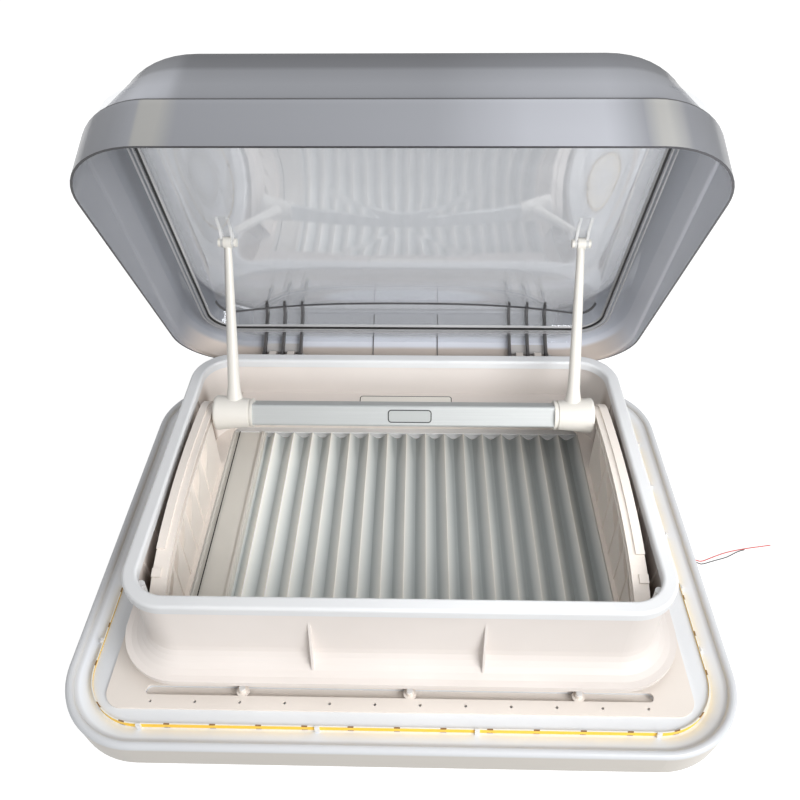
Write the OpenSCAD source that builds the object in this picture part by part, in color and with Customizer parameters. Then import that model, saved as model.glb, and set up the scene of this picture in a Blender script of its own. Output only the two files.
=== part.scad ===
// Caravan roof vent with a lifting dome, pleated blind and fly screen.
// Millimetres. The origin is the centre of the roof cut-out, on the roof's outer face.
// +Z points up, +X to the right and -Y to the front, where the dome opens.
// The dome is drawn open. Its lift bow stands at the rear end of the guide rails.

/* [Roof opening] */
// Width of the roof cut-out
cutout_w = 700; // [620:1:800]
// Depth of the roof cut-out, front to rear
cutout_d = 500; // [460:1:600]
// Gap between collar and cut-out on each side
cutout_gap = 3; // [1:0.5:6]
// Room for the roof between flange and cassette plate
clamp_gap = 20; // [18:1:40]

/* [Collar] */
// Wall thickness of the collar
collar_wall = 5; // [4:0.5:6]
// Outer corner radius of the collar
collar_corner = 55; // [45:1:65]
// Height of the collar's wall above the roof
collar_h = 134; // [125:1:150]
// Reach of the roof flange beyond the wall
flange_reach = 33; // [28:1:40]
// Width of the flat foot under the flange
flange_foot = 12; // [8:1:16]
// Height of the flange's outer edge
flange_edge = 8; // [6:0.5:10]
// Height at which the flare leaves the wall
flare_h = 40; // [32:1:48]
// Distance of the front gussets from the middle
gusset_x = 112; // [60:1:160]
// Height at which the front gussets leave the wall
gusset_h = 100; // [70:1:115]
// Thickness of gussets and ribs
rib_t = 3; // [2:0.5:5]
// Number of inner ribs on each side wall
rib_count = 7; // [3:1:9]
// Reach of the inner ribs at their foot
rib_reach = 11; // [6:1:12]
// Height of the rear ledge above the roof
ledge_z = 62; // [45:1:75]
// Depth of the rear ledge
ledge_d = 40; // [20:1:50]

/* [Rim] */
// Thickness of the rim cap above the wall
rim_t = 5; // [3:0.5:8]
// Reach of the rim cap outside the wall
rim_out = 7.5; // [3:0.5:8]
// Reach of the rim cap inside the wall
rim_in = 7; // [6:0.5:11]
// Height of the rim cap's skirts
rim_skirt = 14; // [8:1:20]

/* [Ceiling trim] */
// Reach of the trim beyond the cut-out at the sides
tray_reach_x = 102.5; // [94:0.5:130]
// Reach of the trim beyond the cut-out at front and rear
tray_reach_y = 107.5; // [100:0.5:130]
// Corner radius of the trim
tray_corner = 115; // [105:1:130]
// Wall thickness of the trim
trim_wall = 4; // [3:0.5:6]
// Height of the lip above the tray's floor
lip_h = 14; // [10:1:20]
// Radius of the rolled lip
lip_r = 6; // [4.5:0.5:8]
// Lean of the outer wall over its height
wall_lean = 4; // [0:0.5:8]
// Distance from the trim's edge to the light strip
led_inset = 34; // [30:1:40]
// Height of the light strip
led_h = 9; // [6:0.5:12]
// Thickness of the light strip
led_t = 1.6; // [1:0.1:2.5]
// Thickness of the light frame
light_frame_t = 6; // [4:0.5:9]
// Width of a strip clip
clip_w = 6; // [4:0.5:9]
// Thickness of a strip clip
clip_t = 3; // [2:0.5:4]
// Height of a strip clip
clip_h = 11; // [8:0.5:13]
// Place of the outer front clips, as a share of the strip's width
clip_far = 0.4; // [0.34:0.01:0.4]
// Place of the inner front clips, as a share of the strip's width
clip_near = 0.123; // [0.08:0.001:0.2]
// Pitch of the side clips, as a share of the strip's depth
clip_side = 0.158; // [0.12:0.001:0.17]

/* [Cassette] */
// Reach of the cassette plate beyond the cut-out at the sides
plate_reach_x = 40; // [36:1:46]
// Reach of the cassette plate beyond the cut-out at front and rear
plate_reach_y = 52; // [50:1:56]
// Thickness of the cassette plate
plate_t = 3; // [2:0.5:5]
// Corner radius of the cassette plate
plate_corner = 25; // [15:1:40]
// Inset of the throat against the cut-out at the sides
throat_in_x = 36; // [34:1:40]
// Inset of the throat against the cut-out at front and rear
throat_in_y = 8; // [8:1:12]
// Corner radius of the throat
throat_corner = 18; // [8:1:30]
// Height of the blind's space between plate and fascia
cassette_h = 38; // [34:1:50]
// Screw holes in each of the front and rear rows
hole_count = 12; // [6:1:16]
// Distance of the outer holes from the plate's sides
hole_edge_x = 62; // [40:1:110]
// Distance of the hole rows from the plate's front and rear edges
hole_edge_y = 10; // [7:0.5:11]
// Radius of the screw holes
hole_r = 2; // [1.5:0.1:2.5]
// Distance of the front trough from the plate's sides
trough_edge_x = 52; // [40:1:90]
// Width of the front trough
trough_w = 14; // [12:1:16]
// Distance of the trough from the plate's front edge
trough_edge_y = 26; // [24:0.5:27]
// Pitch of the screw bosses, as a share of the trough's length
boss_share = 0.33; // [0.25:0.01:0.4]
// Height of the screw bosses above the plate
boss_rise = 6; // [3:0.5:8]
// Offset of the middle boss to the right
boss_shift = 16; // [-30:1:30]
// Radius of a screw boss
boss_r = 5; // [4:0.5:6]

/* [Dome] */
// Reach of the dome beyond the cut-out on each side
dome_side = 38; // [36:1:50]
// Reach of the dome's front edge beyond the cut-out
dome_front = 38; // [36:1:50]
// Distance of the hinge axis behind the cut-out
hinge_back = 36; // [34:1:44]
// Depth of the hinge axis below the collar's top
hinge_drop = 26; // [24:1:30]
// Angle between open and closed dome
open_angle = 68; // [50:1:75]
// Distance of the dome's rear face behind the hinge axis
dome_rear = 18; // [17:0.5:24]
// Wall thickness of the dome
dome_t = 3; // [2:0.5:4]
// Corner radius of the skirt
dome_corner = 106; // [90:1:115]
// Corner radius of the dome's top
crown_corner = 132; // [110:1:150]
// Slope of the skirt's lower edge, deeper at the front
skirt_slope = 7; // [4:0.5:8]
// Height of the skirt's front edge above the roof
skirt_front_z = 34; // [30:1:60]
// Depth of the step between skirt and shoulder below the collar's top
step_drop = 26; // [24:1:30]
// Width of the step
step_w = 4; // [2:0.5:6]
// Height of the dome's top above the rim
crown_rise = 70; // [60:1:90]
// Inset of the dome's top against the skirt
crown_inset = 20; // [12:1:40]
// Thickness of the inner pane
pane_t = 3; // [2:0.5:4]
// Rise of the pane's raised middle
pane_rise = 36; // [30:1:44]
// Slope width of the pane's raised middle
pane_slope = 10; // [6:1:20]
// Thickness of the seal under the pane
seal_h = 3.6; // [2.5:0.1:6]
// Width of the seal
seal_w = 2.5; // [2:0.5:4]
// Inset of the seal's sides against the collar's outside
seal_side_in = 11; // [9:0.5:12]
// Inset of the seal's front and rear against the collar's outside
seal_end_in = 4; // [3:0.5:8]
// Room between the seal and the rim when closed
seal_gap = 0.5; // [0.3:0.1:1.5]

/* [Hinges] */
// Distance of each hinge from the collar's side
hinge_in = 129; // [110:1:180]
// Distance between the ribs of a hinge
hinge_rib_pitch = 32; // [28:1:40]
// Thickness of the ribs of a hinge
hinge_rib_t = 4; // [3:0.5:6]
// Depth of the ribs of a hinge in front of the dome's rear wall
hinge_rib_d = 13; // [10:1:16]
// Radius of the hinge pins
hinge_pin_r = 4; // [3:0.5:5]
// Radius of the hinge knuckles
knuckle_r = 10; // [8:0.5:11]
// Running clearance of every pin
pin_gap = 0.05; // [0.03:0.01:0.1]

/* [Lift bow] */
// Pivot behind the middle of the cut-out, as a share of its depth, dome closed
pivot_share = 0.088; // [0.075:0.001:0.1]
// Depth of the pivot below the pane's raised middle
pivot_drop = 10; // [9.5:0.5:14]
// Slope of the arms when the dome is closed
arm_closed_slope = 17.8; // [16.5:0.1:19]
// Slope of the arms when the dome is open
arm_open_slope = 61; // [58:0.5:64]
// Distance of the crossbar's axis from the collar's front wall, dome closed
bar_front_gap = 31; // [30.5:0.5:36]
// Height and depth of the crossbar
bar_size = 34; // [28:1:35]
// Edge radius of the crossbar
bar_edge = 4; // [3:0.5:8]
// Wall thickness of the crossbar
bar_wall = 2.5; // [1.5:0.5:3]
// Radius of an end block at its outer end
block_r = 28; // [26:0.5:28.5]
// Radius of an end block at its inner end
block_neck_r = 23; // [22.5:0.5:25]
// Rounding of an end block's outer edge
block_edge = 5; // [3:0.5:8]
// Length of an end block
block_l = 62; // [56:1:70]
// Length of the ring lip on an end block
ring_l = 3.5; // [3:0.5:6]
// Radius of an arm at its foot
arm_foot_r = 9.5; // [8:0.5:10]
// Growth of the arm's radius where it leaves the block
arm_flare = 6; // [3:0.5:8]
// Length of the arm's flare
flare_l = 34; // [24:1:44]
// Radius of an arm at its top
arm_top_r = 5.8; // [4.5:0.1:5.8]
// Radius of the arm's eye
eye_r = 9; // [8:0.5:10]
// Length of the arm's eye along the pin
eye_l = 12; // [12:0.5:16]
// Radius of the pivot pins
pivot_pin_r = 4; // [3:0.5:5]
// Radius of the guide pins on the end blocks
guide_pin_r = 4; // [3:0.5:5]

/* [Guide rails] */
// Width of a guide rail
rail_w = 21; // [19:0.5:23]
// Height of the rail's band
rail_band = 16; // [14:1:24]
// Width of the rail's lower inner band
rail_inner_w = 9; // [6:0.5:10]
// Rise of the rail's outer band above the inner band
rail_rise = 3; // [2:0.5:6]
// Thickness of the rail's web
rail_web = 4; // [3:0.5:6]
// Room between rail and the collar's inner ribs
rail_gap = 6; // [4:0.5:10]
// Room between end block and rail
block_gap = 3; // [2:0.5:5]
// Room round the guide pin in its slot
slot_gap = 0.5; // [0.3:0.1:1]
// Depth of the guide slot
slot_depth = 13; // [10:0.5:15]
// Radius of the rail's bent rear end
tail_r = 40; // [30:1:130]
// Angle of the rail's bent rear end
tail_angle = 40; // [25:1:60]
// Number of gussets under the rail
rail_gussets = 7; // [4:1:10]
// Depth of the rail stops' tops below the collar's top
stop_drop = 15; // [15:1:40]

/* [Blind and screen] */
// Width of the blind's pull rail
pull_w = 49; // [40:1:60]
// Width of the screen's rail
screen_rail_w = 15; // [10:1:20]
// Depth of the guide channels behind the throat's edge
guide_d = 12; // [10:0.5:13]
// Outer height of the guide channels
guide_h = 14; // [12:0.5:18]
// Wall of the guide channels
guide_wall = 2; // [1.5:0.5:3]
// Room round everything that slides in the channels
slide_gap = 0.3; // [0.2:0.1:0.6]
// Number of pleats in the blind
pleat_count = 17; // [10:1:24]
// Height of the pleats
pleat_h = 15; // [8:0.5:17]
// Thickness of the blind's cloth
cloth_t = 1.2; // [0.8:0.1:2]
// Number of folds in the parked screen
screen_folds = 5; // [3:1:6]
// Room beside the throat for the parked blind and screen
park_x = 20; // [18:0.5:24]
// Reach of the parked screen rail under the throat's edge
rail_under = 8; // [6:0.5:9]

/* [Leads] */
// Diameter of the two leads
lead_d = 1.5; // [1:0.1:2.5]
// Radius of the grommet
grommet_r = 5; // [4:0.5:6]

/* [Hidden] */
$fn = 48;

LEFT = -1;
RIGHT = 1;

// Collar and rim
collar_w = cutout_w - 2 * cutout_gap;
collar_d = cutout_d - 2 * cutout_gap;
inner_x = collar_w / 2 - collar_wall;
inner_y = collar_d / 2 - collar_wall;
rim_top = collar_h + rim_t;
tray_w = cutout_w + 2 * tray_reach_x;
tray_d = cutout_d + 2 * tray_reach_y;
plate_w = cutout_w + 2 * plate_reach_x;
plate_d = cutout_d + 2 * plate_reach_y;
throat_w = cutout_w - 2 * throat_in_x;
throat_d = cutout_d - 2 * throat_in_y;
hole_span = plate_w - 2 * hole_edge_x;
hole_y = plate_d / 2 - hole_edge_y;
trough_l = plate_w - 2 * trough_edge_x;
trough_y = plate_d / 2 - trough_edge_y;
boss_pitch = trough_l * boss_share;
hinge_x = collar_w / 2 - hinge_in;
hinge_z = collar_h - hinge_drop;
stop_z = collar_h - stop_drop;

// Levels of the ceiling side, from the cassette plate down
plate_top = -clamp_gap;
plate_under = plate_top - plate_t;
floor_top = plate_under - light_frame_t;
floor_under = floor_top - trim_wall;
lip_top = floor_top + lip_h;
fascia_top = plate_under - cassette_h;
tray_bottom = fascia_top - trim_wall;
blind_z = (plate_under + fascia_top) / 2;
led_w = tray_w - 2 * led_inset;
led_d = tray_d - 2 * led_inset;
led_corner = tray_corner - led_inset;
sweep_in = 60;
boss_top = plate_top + boss_rise;
cassette_wall = 3;
well_w = throat_w + 2 * park_x + 2 * cassette_wall;
well_d = throat_d + 2 * guide_d + 2 * cassette_wall;
hole_pitch = hole_span / (hole_count - 1);

// Hinge axis and dome, in the closed position
hinge_y = cutout_d / 2 + hinge_back;
dome_x = cutout_w / 2 + dome_side;
dome_y0 = -cutout_d / 2 - dome_front;
dome_y1 = hinge_y + dome_rear;
dome_w = 2 * dome_x;
dome_d = dome_y1 - dome_y0;
dome_mid = (dome_y0 + dome_y1) / 2;
thin = 0.5;
step_z = collar_h - step_drop;
crown_z = rim_top + crown_rise;
pane_z = rim_top + seal_gap + seal_h;
pane_top = pane_z + pane_t;
ceiling_z = pane_z + pane_rise;
seal_x = collar_w / 2 - seal_side_in;
seal_y = collar_d / 2 - seal_end_in;
seal_corner = collar_corner - seal_side_in;
function shoulder_part(z) = (z - step_z) / (crown_z - step_z);
function shoulder_inset(z) = step_w + (crown_inset - step_w) * shoulder_part(z);
function shoulder_corner(z) = dome_corner - step_w + (crown_corner - dome_corner + step_w) * shoulder_part(z);
function inner_inset(z) = shoulder_inset(z + dome_t) + dome_t;
function inner_corner(z) = shoulder_corner(z + dome_t) - dome_t;

// Lift bow: points are [y, z]
hinge = [hinge_y, hinge_z];
pivot_y = cutout_d * pivot_share;
pivot_z = ceiling_z - pivot_drop;
pivot_closed = [pivot_y, pivot_z];
function turned(p, a) = hinge + [
    cos(a) * (p.x - hinge.x) + sin(a) * (p.y - hinge.y),
    -sin(a) * (p.x - hinge.x) + cos(a) * (p.y - hinge.y)
];
pivot_open = turned(pivot_closed, open_angle);
function heading(p, q) = (atan2(q.y - p.y, q.x - p.x) + 360) % 360;
arm_open_angle = 180 + arm_open_slope;
arm_closed_angle = 180 + arm_closed_slope;
arm_l = (pivot_y + inner_y - bar_front_gap) / cos(arm_closed_slope);
bar_open = pivot_open + arm_l * [cos(arm_open_angle), sin(arm_open_angle)];
bar_closed = pivot_closed + arm_l * [cos(arm_closed_angle), sin(arm_closed_angle)];
arm_turn = arm_closed_angle - arm_open_angle;

// The crossbar's place at a share s of the closing motion
function bar_at(s) =
    let (p = turned(pivot_closed, open_angle * (1 - s)), a = arm_open_angle + arm_turn * s)
    p + arm_l * [cos(a), sin(a)];

// Guide rails follow the crossbar's path, then bend down behind it
rail_steps = 20;
rail_path = [for (i = [rail_steps:-1:0]) bar_at(i / rail_steps)];
rail_heading = heading(bar_at(1 / rail_steps), bar_at(0));
tail_steps = 6;
function tail_at(a) = bar_open + tail_r * [
    sin(rail_heading) - sin(rail_heading - a),
    cos(rail_heading - a) - cos(rail_heading)
];
rail_tail = [for (i = [1:tail_steps]) tail_at(tail_angle * i / tail_steps)];
rail_line = concat(rail_path, rail_tail);
rail_notch = 6;
rail_clip = 3;
rail_x1 = inner_x - rib_reach - rail_gap;
rail_x0 = rail_x1 - rail_w;
block_x1 = rail_x0 - block_gap;
block_x0 = block_x1 - block_l;
arm_x = block_x1 - block_l / 2;

// Blind and screen
screen_x0 = -throat_w / 2 - rail_under;
screen_x1 = screen_x0 + screen_rail_w;
pull_x0 = screen_x1 + slide_gap;
pull_x1 = pull_x0 + pull_w;
blind_x1 = throat_w / 2 + park_x;
slide_t = guide_h - 2 * guide_wall - 2 * slide_gap;
slide_l = throat_d + 2 * (guide_d - guide_wall - slide_gap);
cloth_d = throat_d - 4;
mesh_t = 0.2;

// Routes of the two leads, from the grommet's face over the floor
grommet_at = [tray_w / 2, -27.5, tray_bottom + 13];
grommet_out = 5.5;
grommet_in = 10;
grommet_seat = 0.5;
grommet_lip = 2;
lead_apart = 3;
lead_red_route = [
    [0, 1.5, 13], [4, 1.7, 12.8], [8, 2.2, 11.6], [12, 3.1, 9], [16, 4.3, 5.8], [20, 5.7, 3], [25, 7.7, 1.3],
    [31, 10.3, 0.8], [39, 13.9, 0.8], [48, 17.9, 0.8], [57, 21.7, 0.8], [67, 25.3, 0.8], [78, 28.5, 0.8],
    [89, 31.2, 0.8], [101, 33.8, 0.8], [114, 36.3, 0.8], [129, 38.8, 0.8], [144, 41.5, 0.8]
];
lead_black_route = [
    [0, -1.5, 13], [4, -1.6, 12.7], [8, -1.5, 11.2], [12, -1.1, 8.4], [16, -0.3, 5.1], [20, 0.7, 2.5],
    [25, 2.3, 1.1], [31, 4.4, 0.8], [38, 6.9, 0.8], [45, 9.3, 0.8], [52, 11.5, 0.8], [59, 13.7, 0.8],
    [66, 16.3, 0.8], [73, 19.9, 0.8], [80, 24, 0.8], [87, 27.5, 0.8], [93, 29.8, 0.8], [99, 31.5, 0.8]
];

// Plan outline with round corners
module rounded_rect(w, d, r) {
    square([w - 2 * r, d], center = true);
    square([w, d - 2 * r], center = true);
    for (sx = [-1, 1], sy = [-1, 1])
        translate([sx * (w / 2 - r), sy * (d / 2 - r)])
            circle(r);
}

// Flat plate between two heights
module slab(w, d, r, z0, z1) {
    translate([0, 0, z0])
        linear_extrude(z1 - z0)
            rounded_rect(w, d, r);
}

// Ring plate between two heights
module ring_slab(w, d, r, iw, id, ir, z0, z1) {
    translate([0, 0, z0])
        linear_extrude(z1 - z0)
            difference() {
                rounded_rect(w, d, r);
                rounded_rect(iw, id, ir);
            }
}

// Carries a section round a rounded rectangle: x is outwards, y is height
module swept_frame(w, d, r) {
    for (k = [0:3]) {
        across = k % 2 == 0 ? w : d;
        along = k % 2 == 0 ? d : w;
        rotate(90 * k) {
            translate([across / 2, 0, 0])
                rotate([90, 0, 0])
                    linear_extrude(along - 2 * r, center = true)
                        children();
            translate([across / 2 - r, along / 2 - r, 0])
                rotate_extrude(angle = 90)
                    translate([r, 0])
                        children();
        }
    }
}

// Extrudes a [y, z] outline from x0 to x1
module across_x(x0, x1) {
    translate([x0, 0, 0])
        rotate([90, 0, 90])
            linear_extrude(x1 - x0)
                children();
}

// Extrudes a [x, z] outline from -l/2 to l/2 along y
module along_y(l) {
    rotate([90, 0, 0])
        linear_extrude(l, center = true)
            children();
}

// Cylinder along x between two places
module x_cylinder(x0, x1, r, at) {
    translate([x0, at.x, at.y])
        rotate([0, 90, 0])
            cylinder(h = x1 - x0, r = r);
}

// Turned piece along x: the outline holds radius and length
module x_turned(x0, at, outline) {
    translate([x0, at.x, at.y])
        rotate([0, 90, 0])
            rotate_extrude()
                polygon(outline);
}

// Keeps the right-hand piece or mirrors it to the left
module on_side(side) {
    if (side == RIGHT)
        children();
    else
        mirror([1, 0, 0])
            children();
}

// Moves the dome's pieces from closed to open
module opened() {
    translate([0, hinge.x, hinge.y])
        rotate([-open_angle, 0, 0])
            translate([0, -hinge.x, -hinge.y])
                children();
}

// Points of an arc about c
function arc(c, r, a0, a1, n) = [
    for (i = [0:n])
        let (a = a0 + (a1 - a0) * i / n)
        c + r * [cos(a), sin(a)]
];

// Line parallel to an open run of points, to its left
function parallel(line, off) = [
    for (i = [0:len(line) - 1])
        let (
            a = line[max(i - 1, 0)],
            b = line[min(i + 1, len(line) - 1)],
            t = (b - a) / norm(b - a)
        )
        line[i] + off * [-t.y, t.x]
];
function reversed(v) = [for (i = [len(v) - 1:-1:0]) v[i]];
function strip(line, up, down) = concat(parallel(line, up), reversed(parallel(line, -down)));

// Section of the trim: leaning wall, rolled lip, dish, floor and fascia
function trim_section() = concat(
    [[-wall_lean, tray_bottom]],
    arc([-lip_r, lip_top - lip_r], lip_r, 0, 180, 8),
    [[-led_inset + clip_w / 2, floor_top], [-sweep_in, floor_top], [-sweep_in, floor_under]],
    [[-led_inset, floor_under], [-2 * lip_r - 2, lip_top - lip_r - trim_wall]],
    [[-lip_r, lip_top - lip_r - 1], [-trim_wall - 1, lip_top - 2 * lip_r]],
    [[-wall_lean - trim_wall, fascia_top], [-sweep_in, fascia_top], [-sweep_in, tray_bottom]]
);

module ceiling_trim() {
    core_w = tray_w - 2 * sweep_in;
    core_d = tray_d - 2 * sweep_in;
    core_r = tray_corner - sweep_in;
    color("whitesmoke")
        difference() {
            union() {
                swept_frame(tray_w, tray_d, tray_corner)
                    polygon(trim_section());
                ring_slab(core_w, core_d, core_r, well_w, well_d, cassette_wall, floor_under, floor_top);
                ring_slab(core_w, core_d, core_r, throat_w, throat_d, throat_corner, tray_bottom, fascia_top);
            }
            screw_holes(floor_under - 1, floor_top + 1);
            translate([grommet_at.x - grommet_in - 2, grommet_at.y, grommet_at.z])
                rotate([0, 90, 0])
                    cylinder(h = 2 * grommet_in, r = grommet_r - 1 + slide_gap);
        }
}

// The front and rear rows of screw holes
module screw_holes(z0, z1) {
    for (sy = [-1, 1], i = [0:hole_count - 1])
        translate([-hole_span / 2 + i * hole_pitch, sy * hole_y, z0])
            cylinder(h = z1 - z0, r = hole_r);
}

// The long trough in front of the collar
module trough(grow) {
    hull_l = trough_l - trough_w;
    translate([0, -trough_y])
        square([hull_l, trough_w + 2 * grow], center = true);
    for (s = [-1, 1])
        translate([s * hull_l / 2, -trough_y])
            circle(trough_w / 2 + grow);
}

module light_frame() {
    color("white")
        difference() {
            slab(led_w - 2 * led_t, led_d - 2 * led_t, led_corner - led_t, floor_top, plate_under);
            slab(well_w, well_d, cassette_wall, floor_top - 1, plate_under + 1);
            screw_holes(floor_top - 1, plate_under + 1);
            translate([0, 0, floor_top - 1])
                linear_extrude(light_frame_t + 2)
                    trough(1);
        }
}

module led_strip() {
    color("gold")
        ring_slab(
            led_w, led_d, led_corner,
            led_w - 2 * led_t, led_d - 2 * led_t, led_corner - led_t,
            floor_top, floor_top + led_h
        );
}

// One strip clip, standing outside the strip with a small hook at its top
module strip_clip() {
    translate([0, -clip_w / 2, floor_top])
        cube([clip_t, clip_w, clip_h]);
}

module led_clips() {
    front_places = [-clip_far, -clip_near, clip_near, clip_far];
    side_places = [-2 * clip_side, -clip_side, 0, clip_side, 2 * clip_side];
    color("white") {
        for (place = front_places, turn = [-90, 90])
            translate([place * led_w, sign(turn) * led_d / 2, 0])
                rotate(turn)
                    strip_clip();
        for (place = side_places, turn = [0, 180])
            translate([(turn == 0 ? 1 : -1) * led_w / 2, place * led_d, 0])
                rotate(turn)
                    strip_clip();
    }
}

module blind_cassette() {
    color("antiquewhite")
        difference() {
            union() {
                ring_slab(
                    plate_w, plate_d, plate_corner,
                    throat_w, throat_d, throat_corner,
                    plate_under, plate_top
                );
                translate([0, 0, fascia_top])
                    linear_extrude(plate_under - fascia_top)
                        difference() {
                            rounded_rect(well_w, well_d, cassette_wall);
                            square([well_w - 2 * cassette_wall, well_d - 2 * cassette_wall], center = true);
                        }
                for (i = [-1:1])
                    translate([boss_shift + i * boss_pitch, -trough_y, floor_top])
                        cylinder(h = boss_top - floor_top, r = boss_r);
            }
            screw_holes(plate_under - 1, plate_top + 1);
            difference() {
                translate([0, 0, plate_under - 1])
                    linear_extrude(plate_t + 2)
                        trough(0);
                for (i = [-1:1])
                    translate([boss_shift + i * boss_pitch, -trough_y, plate_under - 2])
                        cylinder(h = plate_t + 4, r = boss_r + trough_w / 4);
            }
            for (i = [-1:1])
                translate([boss_shift + i * boss_pitch, -trough_y, floor_top - 1])
                    cylinder(h = boss_top - floor_top + 2, r = hole_r);
        }
}

// Screws in the trough's bosses
module clamp_screws() {
    head_h = 2.4;
    color("silver")
        for (i = [-1:1])
            translate([boss_shift + i * boss_pitch, -trough_y, 0]) {
                translate([0, 0, floor_top])
                    cylinder(h = boss_top - floor_top + head_h, r = hole_r - pin_gap);
                translate([0, 0, boss_top])
                    cylinder(h = head_h, r = boss_r - 1);
            }
}

// Channel that opens towards the throat
module guide_section() {
    difference() {
        translate([0, blind_z - guide_h / 2])
            square([guide_d, guide_h]);
        translate([-1, blind_z - guide_h / 2 + guide_wall])
            square([guide_d - guide_wall + 1, guide_h - 2 * guide_wall]);
    }
}

module guide(side) {
    color("gainsboro")
        mirror([0, side == RIGHT ? 0 : 1, 0])
            translate([0, throat_d / 2, 0])
                across_x(-blind_x1, blind_x1)
                    guide_section();
}

// Section of the collar: wall, hollow flare and foot with an open channel below
flare_steps = 6;
function flare_at(a) = [
    flange_reach * (1 - cos(a)),
    flange_edge + (flare_h - flange_edge) * (1 - sin(a))
];
function collar_section() =
    let (foot_in = flange_reach - flange_foot)
    concat(
        [[-collar_wall, plate_top], [-collar_wall, collar_h], [0, collar_h]],
        [for (i = [0:flare_steps]) flare_at(90 * i / flare_steps)],
        [[flange_reach, 0], [foot_in, 0], [foot_in, flange_edge / 2], [0, flange_edge], [0, plate_top]]
    );

// Fin on a wall: widest at its foot, nothing at its top
module fin(reach, z0, z1) {
    rotate([90, 0, 0])
        linear_extrude(rib_t, center = true)
            polygon([[0, z0], [reach, z0], [reach, z0 + rib_t], [0, z1]]);
}

module collar() {
    rib_pitch = (collar_d - 2 * collar_corner) / rib_count;
    color("antiquewhite") {
        swept_frame(collar_w, collar_d, collar_corner)
            polygon(collar_section());
        for (sx = [-1, 1])
            translate([sx * gusset_x, -collar_d / 2, 0])
                rotate(-90)
                    fin(flange_reach / 2, flange_edge, gusset_h);
        for (turn = [0, 180], i = [0:rib_count - 1])
            rotate(turn)
                translate([-inner_x, (i - (rib_count - 1) / 2) * rib_pitch, 0])
                    fin(rib_reach, flange_edge, collar_h - rim_skirt);
        translate([-inner_x + collar_corner, inner_y - ledge_d, ledge_z - rib_t])
            cube([2 * (inner_x - collar_corner), ledge_d, rib_t]);
        translate([-inner_x + collar_corner, inner_y - ledge_d, ledge_z - 4 * rib_t])
            cube([2 * (inner_x - collar_corner), rib_t, 4 * rib_t]);
    }
}

module rim_seal() {
    r = rim_t * 0.8;
    color("aliceblue")
        swept_frame(collar_w, collar_d, collar_corner)
            polygon(concat(
                [[0, collar_h], [0, rim_top - rim_skirt], [rim_out, rim_top - rim_skirt]],
                arc([rim_out - r, rim_top - r], r, 0, 90, 4),
                arc([-collar_wall - rim_in + r, rim_top - r], r, 90, 180, 4),
                [[-collar_wall - rim_in, rim_top - rim_skirt], [-collar_wall, rim_top - rim_skirt]],
                [[-collar_wall, collar_h]]
            ));
}

// Arched rail: an inner band with the guide pin's slot, a raised outer band, a web and gussets
module rail() {
    half = rail_band / 2;
    slot_r = guide_pin_r + slot_gap;
    last = len(rail_line) - 1;
    ends = [rail_path[0], rail_line[last]];
    raised = [for (i = [rail_notch:last]) rail_line[i]];
    clip = [for (i = [rail_clip:rail_clip + 1]) rail_line[i]];
    difference() {
        across_x(rail_x0, rail_x1) {
            polygon(strip(rail_line, half, half));
            for (p = ends)
                translate(p)
                    circle(half);
        }
        across_x(rail_x0 - 1, rail_x0 + slot_depth) {
            polygon(strip(rail_path, slot_r, slot_r));
            for (p = [rail_path[0], bar_open])
                translate(p)
                    circle(slot_r);
        }
    }
    across_x(rail_x0 + rail_inner_w, rail_x1) {
        polygon(strip(raised, half + rail_rise, 1 - half));
        polygon(strip(clip, half + rail_rise, 1 - half));
    }
    across_x(rail_x1 - rail_web, rail_x1)
        polygon(concat(rail_line, [[ends[1].x, plate_top], [ends[0].x, plate_top]]));
    for (i = [1:rail_gussets]) {
        p = bar_at(i / (rail_gussets + 1));
        translate([rail_x1 - rail_web, p.x, 0])
            rotate(180)
                scallop(rail_w - rail_web, p.y - half + 1, plate_top);
    }
}

// Gusset under the rail with a wavy edge: widest at its top
module scallop(reach, z_top, z_foot) {
    steps = 12;
    wave = 0.14;
    function edge(s) = max(0.1, (1 - s) ^ 2 + wave * sin(360 * s));
    rotate([90, 0, 0])
        linear_extrude(rib_t, center = true)
            polygon(concat(
                [[0, z_foot], [0, z_top]],
                [for (i = [0:steps]) [reach * edge(i / steps), z_top + (z_foot - z_top) * i / steps]]
            ));
}

module side_rail(side) {
    color("linen")
        on_side(side)
            rail();
}

module rail_stops() {
    stop_r = 5.5;
    stop_x = (rail_x1 + inner_x) / 2 - 1;
    stop_y = inner_y - collar_corner + 19;
    color("white")
        for (side = [LEFT, RIGHT])
            translate([side * stop_x, -stop_y, plate_top])
                cylinder(h = stop_z - plate_top, r = stop_r);
}

// Fixed hinge half: a plate on the collar's rear wall with two ears
module hinge_base(side) {
    ear_t = 12;
    plate_half = hinge_rib_pitch / 2 + ear_t;
    plate_y = collar_d / 2 + 4;
    low = hinge_z - 2 * knuckle_r;
    high = hinge_z + knuckle_r;
    color("antiquewhite")
        translate([side * hinge_x, 0, 0])
            difference() {
                union() {
                    across_x(-plate_half, plate_half)
                        polygon([[collar_d / 2, low], [plate_y, low], [plate_y, high], [collar_d / 2, high]]);
                    for (s = [-1, 1])
                        across_x(s * hinge_rib_pitch / 2 - ear_t / 2, s * hinge_rib_pitch / 2 + ear_t / 2) {
                            translate(hinge)
                                circle(knuckle_r);
                            polygon([
                                [collar_d / 2, low], [hinge_y, hinge_z - knuckle_r],
                                [hinge_y, high], [collar_d / 2, high]
                            ]);
                        }
                }
                x_cylinder(-plate_half - 1, plate_half + 1, hinge_pin_r + pin_gap, hinge);
            }
}

module hinge_pin(side) {
    half = hinge_rib_pitch + hinge_rib_t;
    head_l = 3;
    head_r = hinge_pin_r + 2;
    color("silver")
        translate([side * hinge_x, 0, 0]) {
            x_cylinder(-half, half, hinge_pin_r, hinge);
            x_cylinder(half, half + head_l, head_r, hinge);
        }
}

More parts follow.
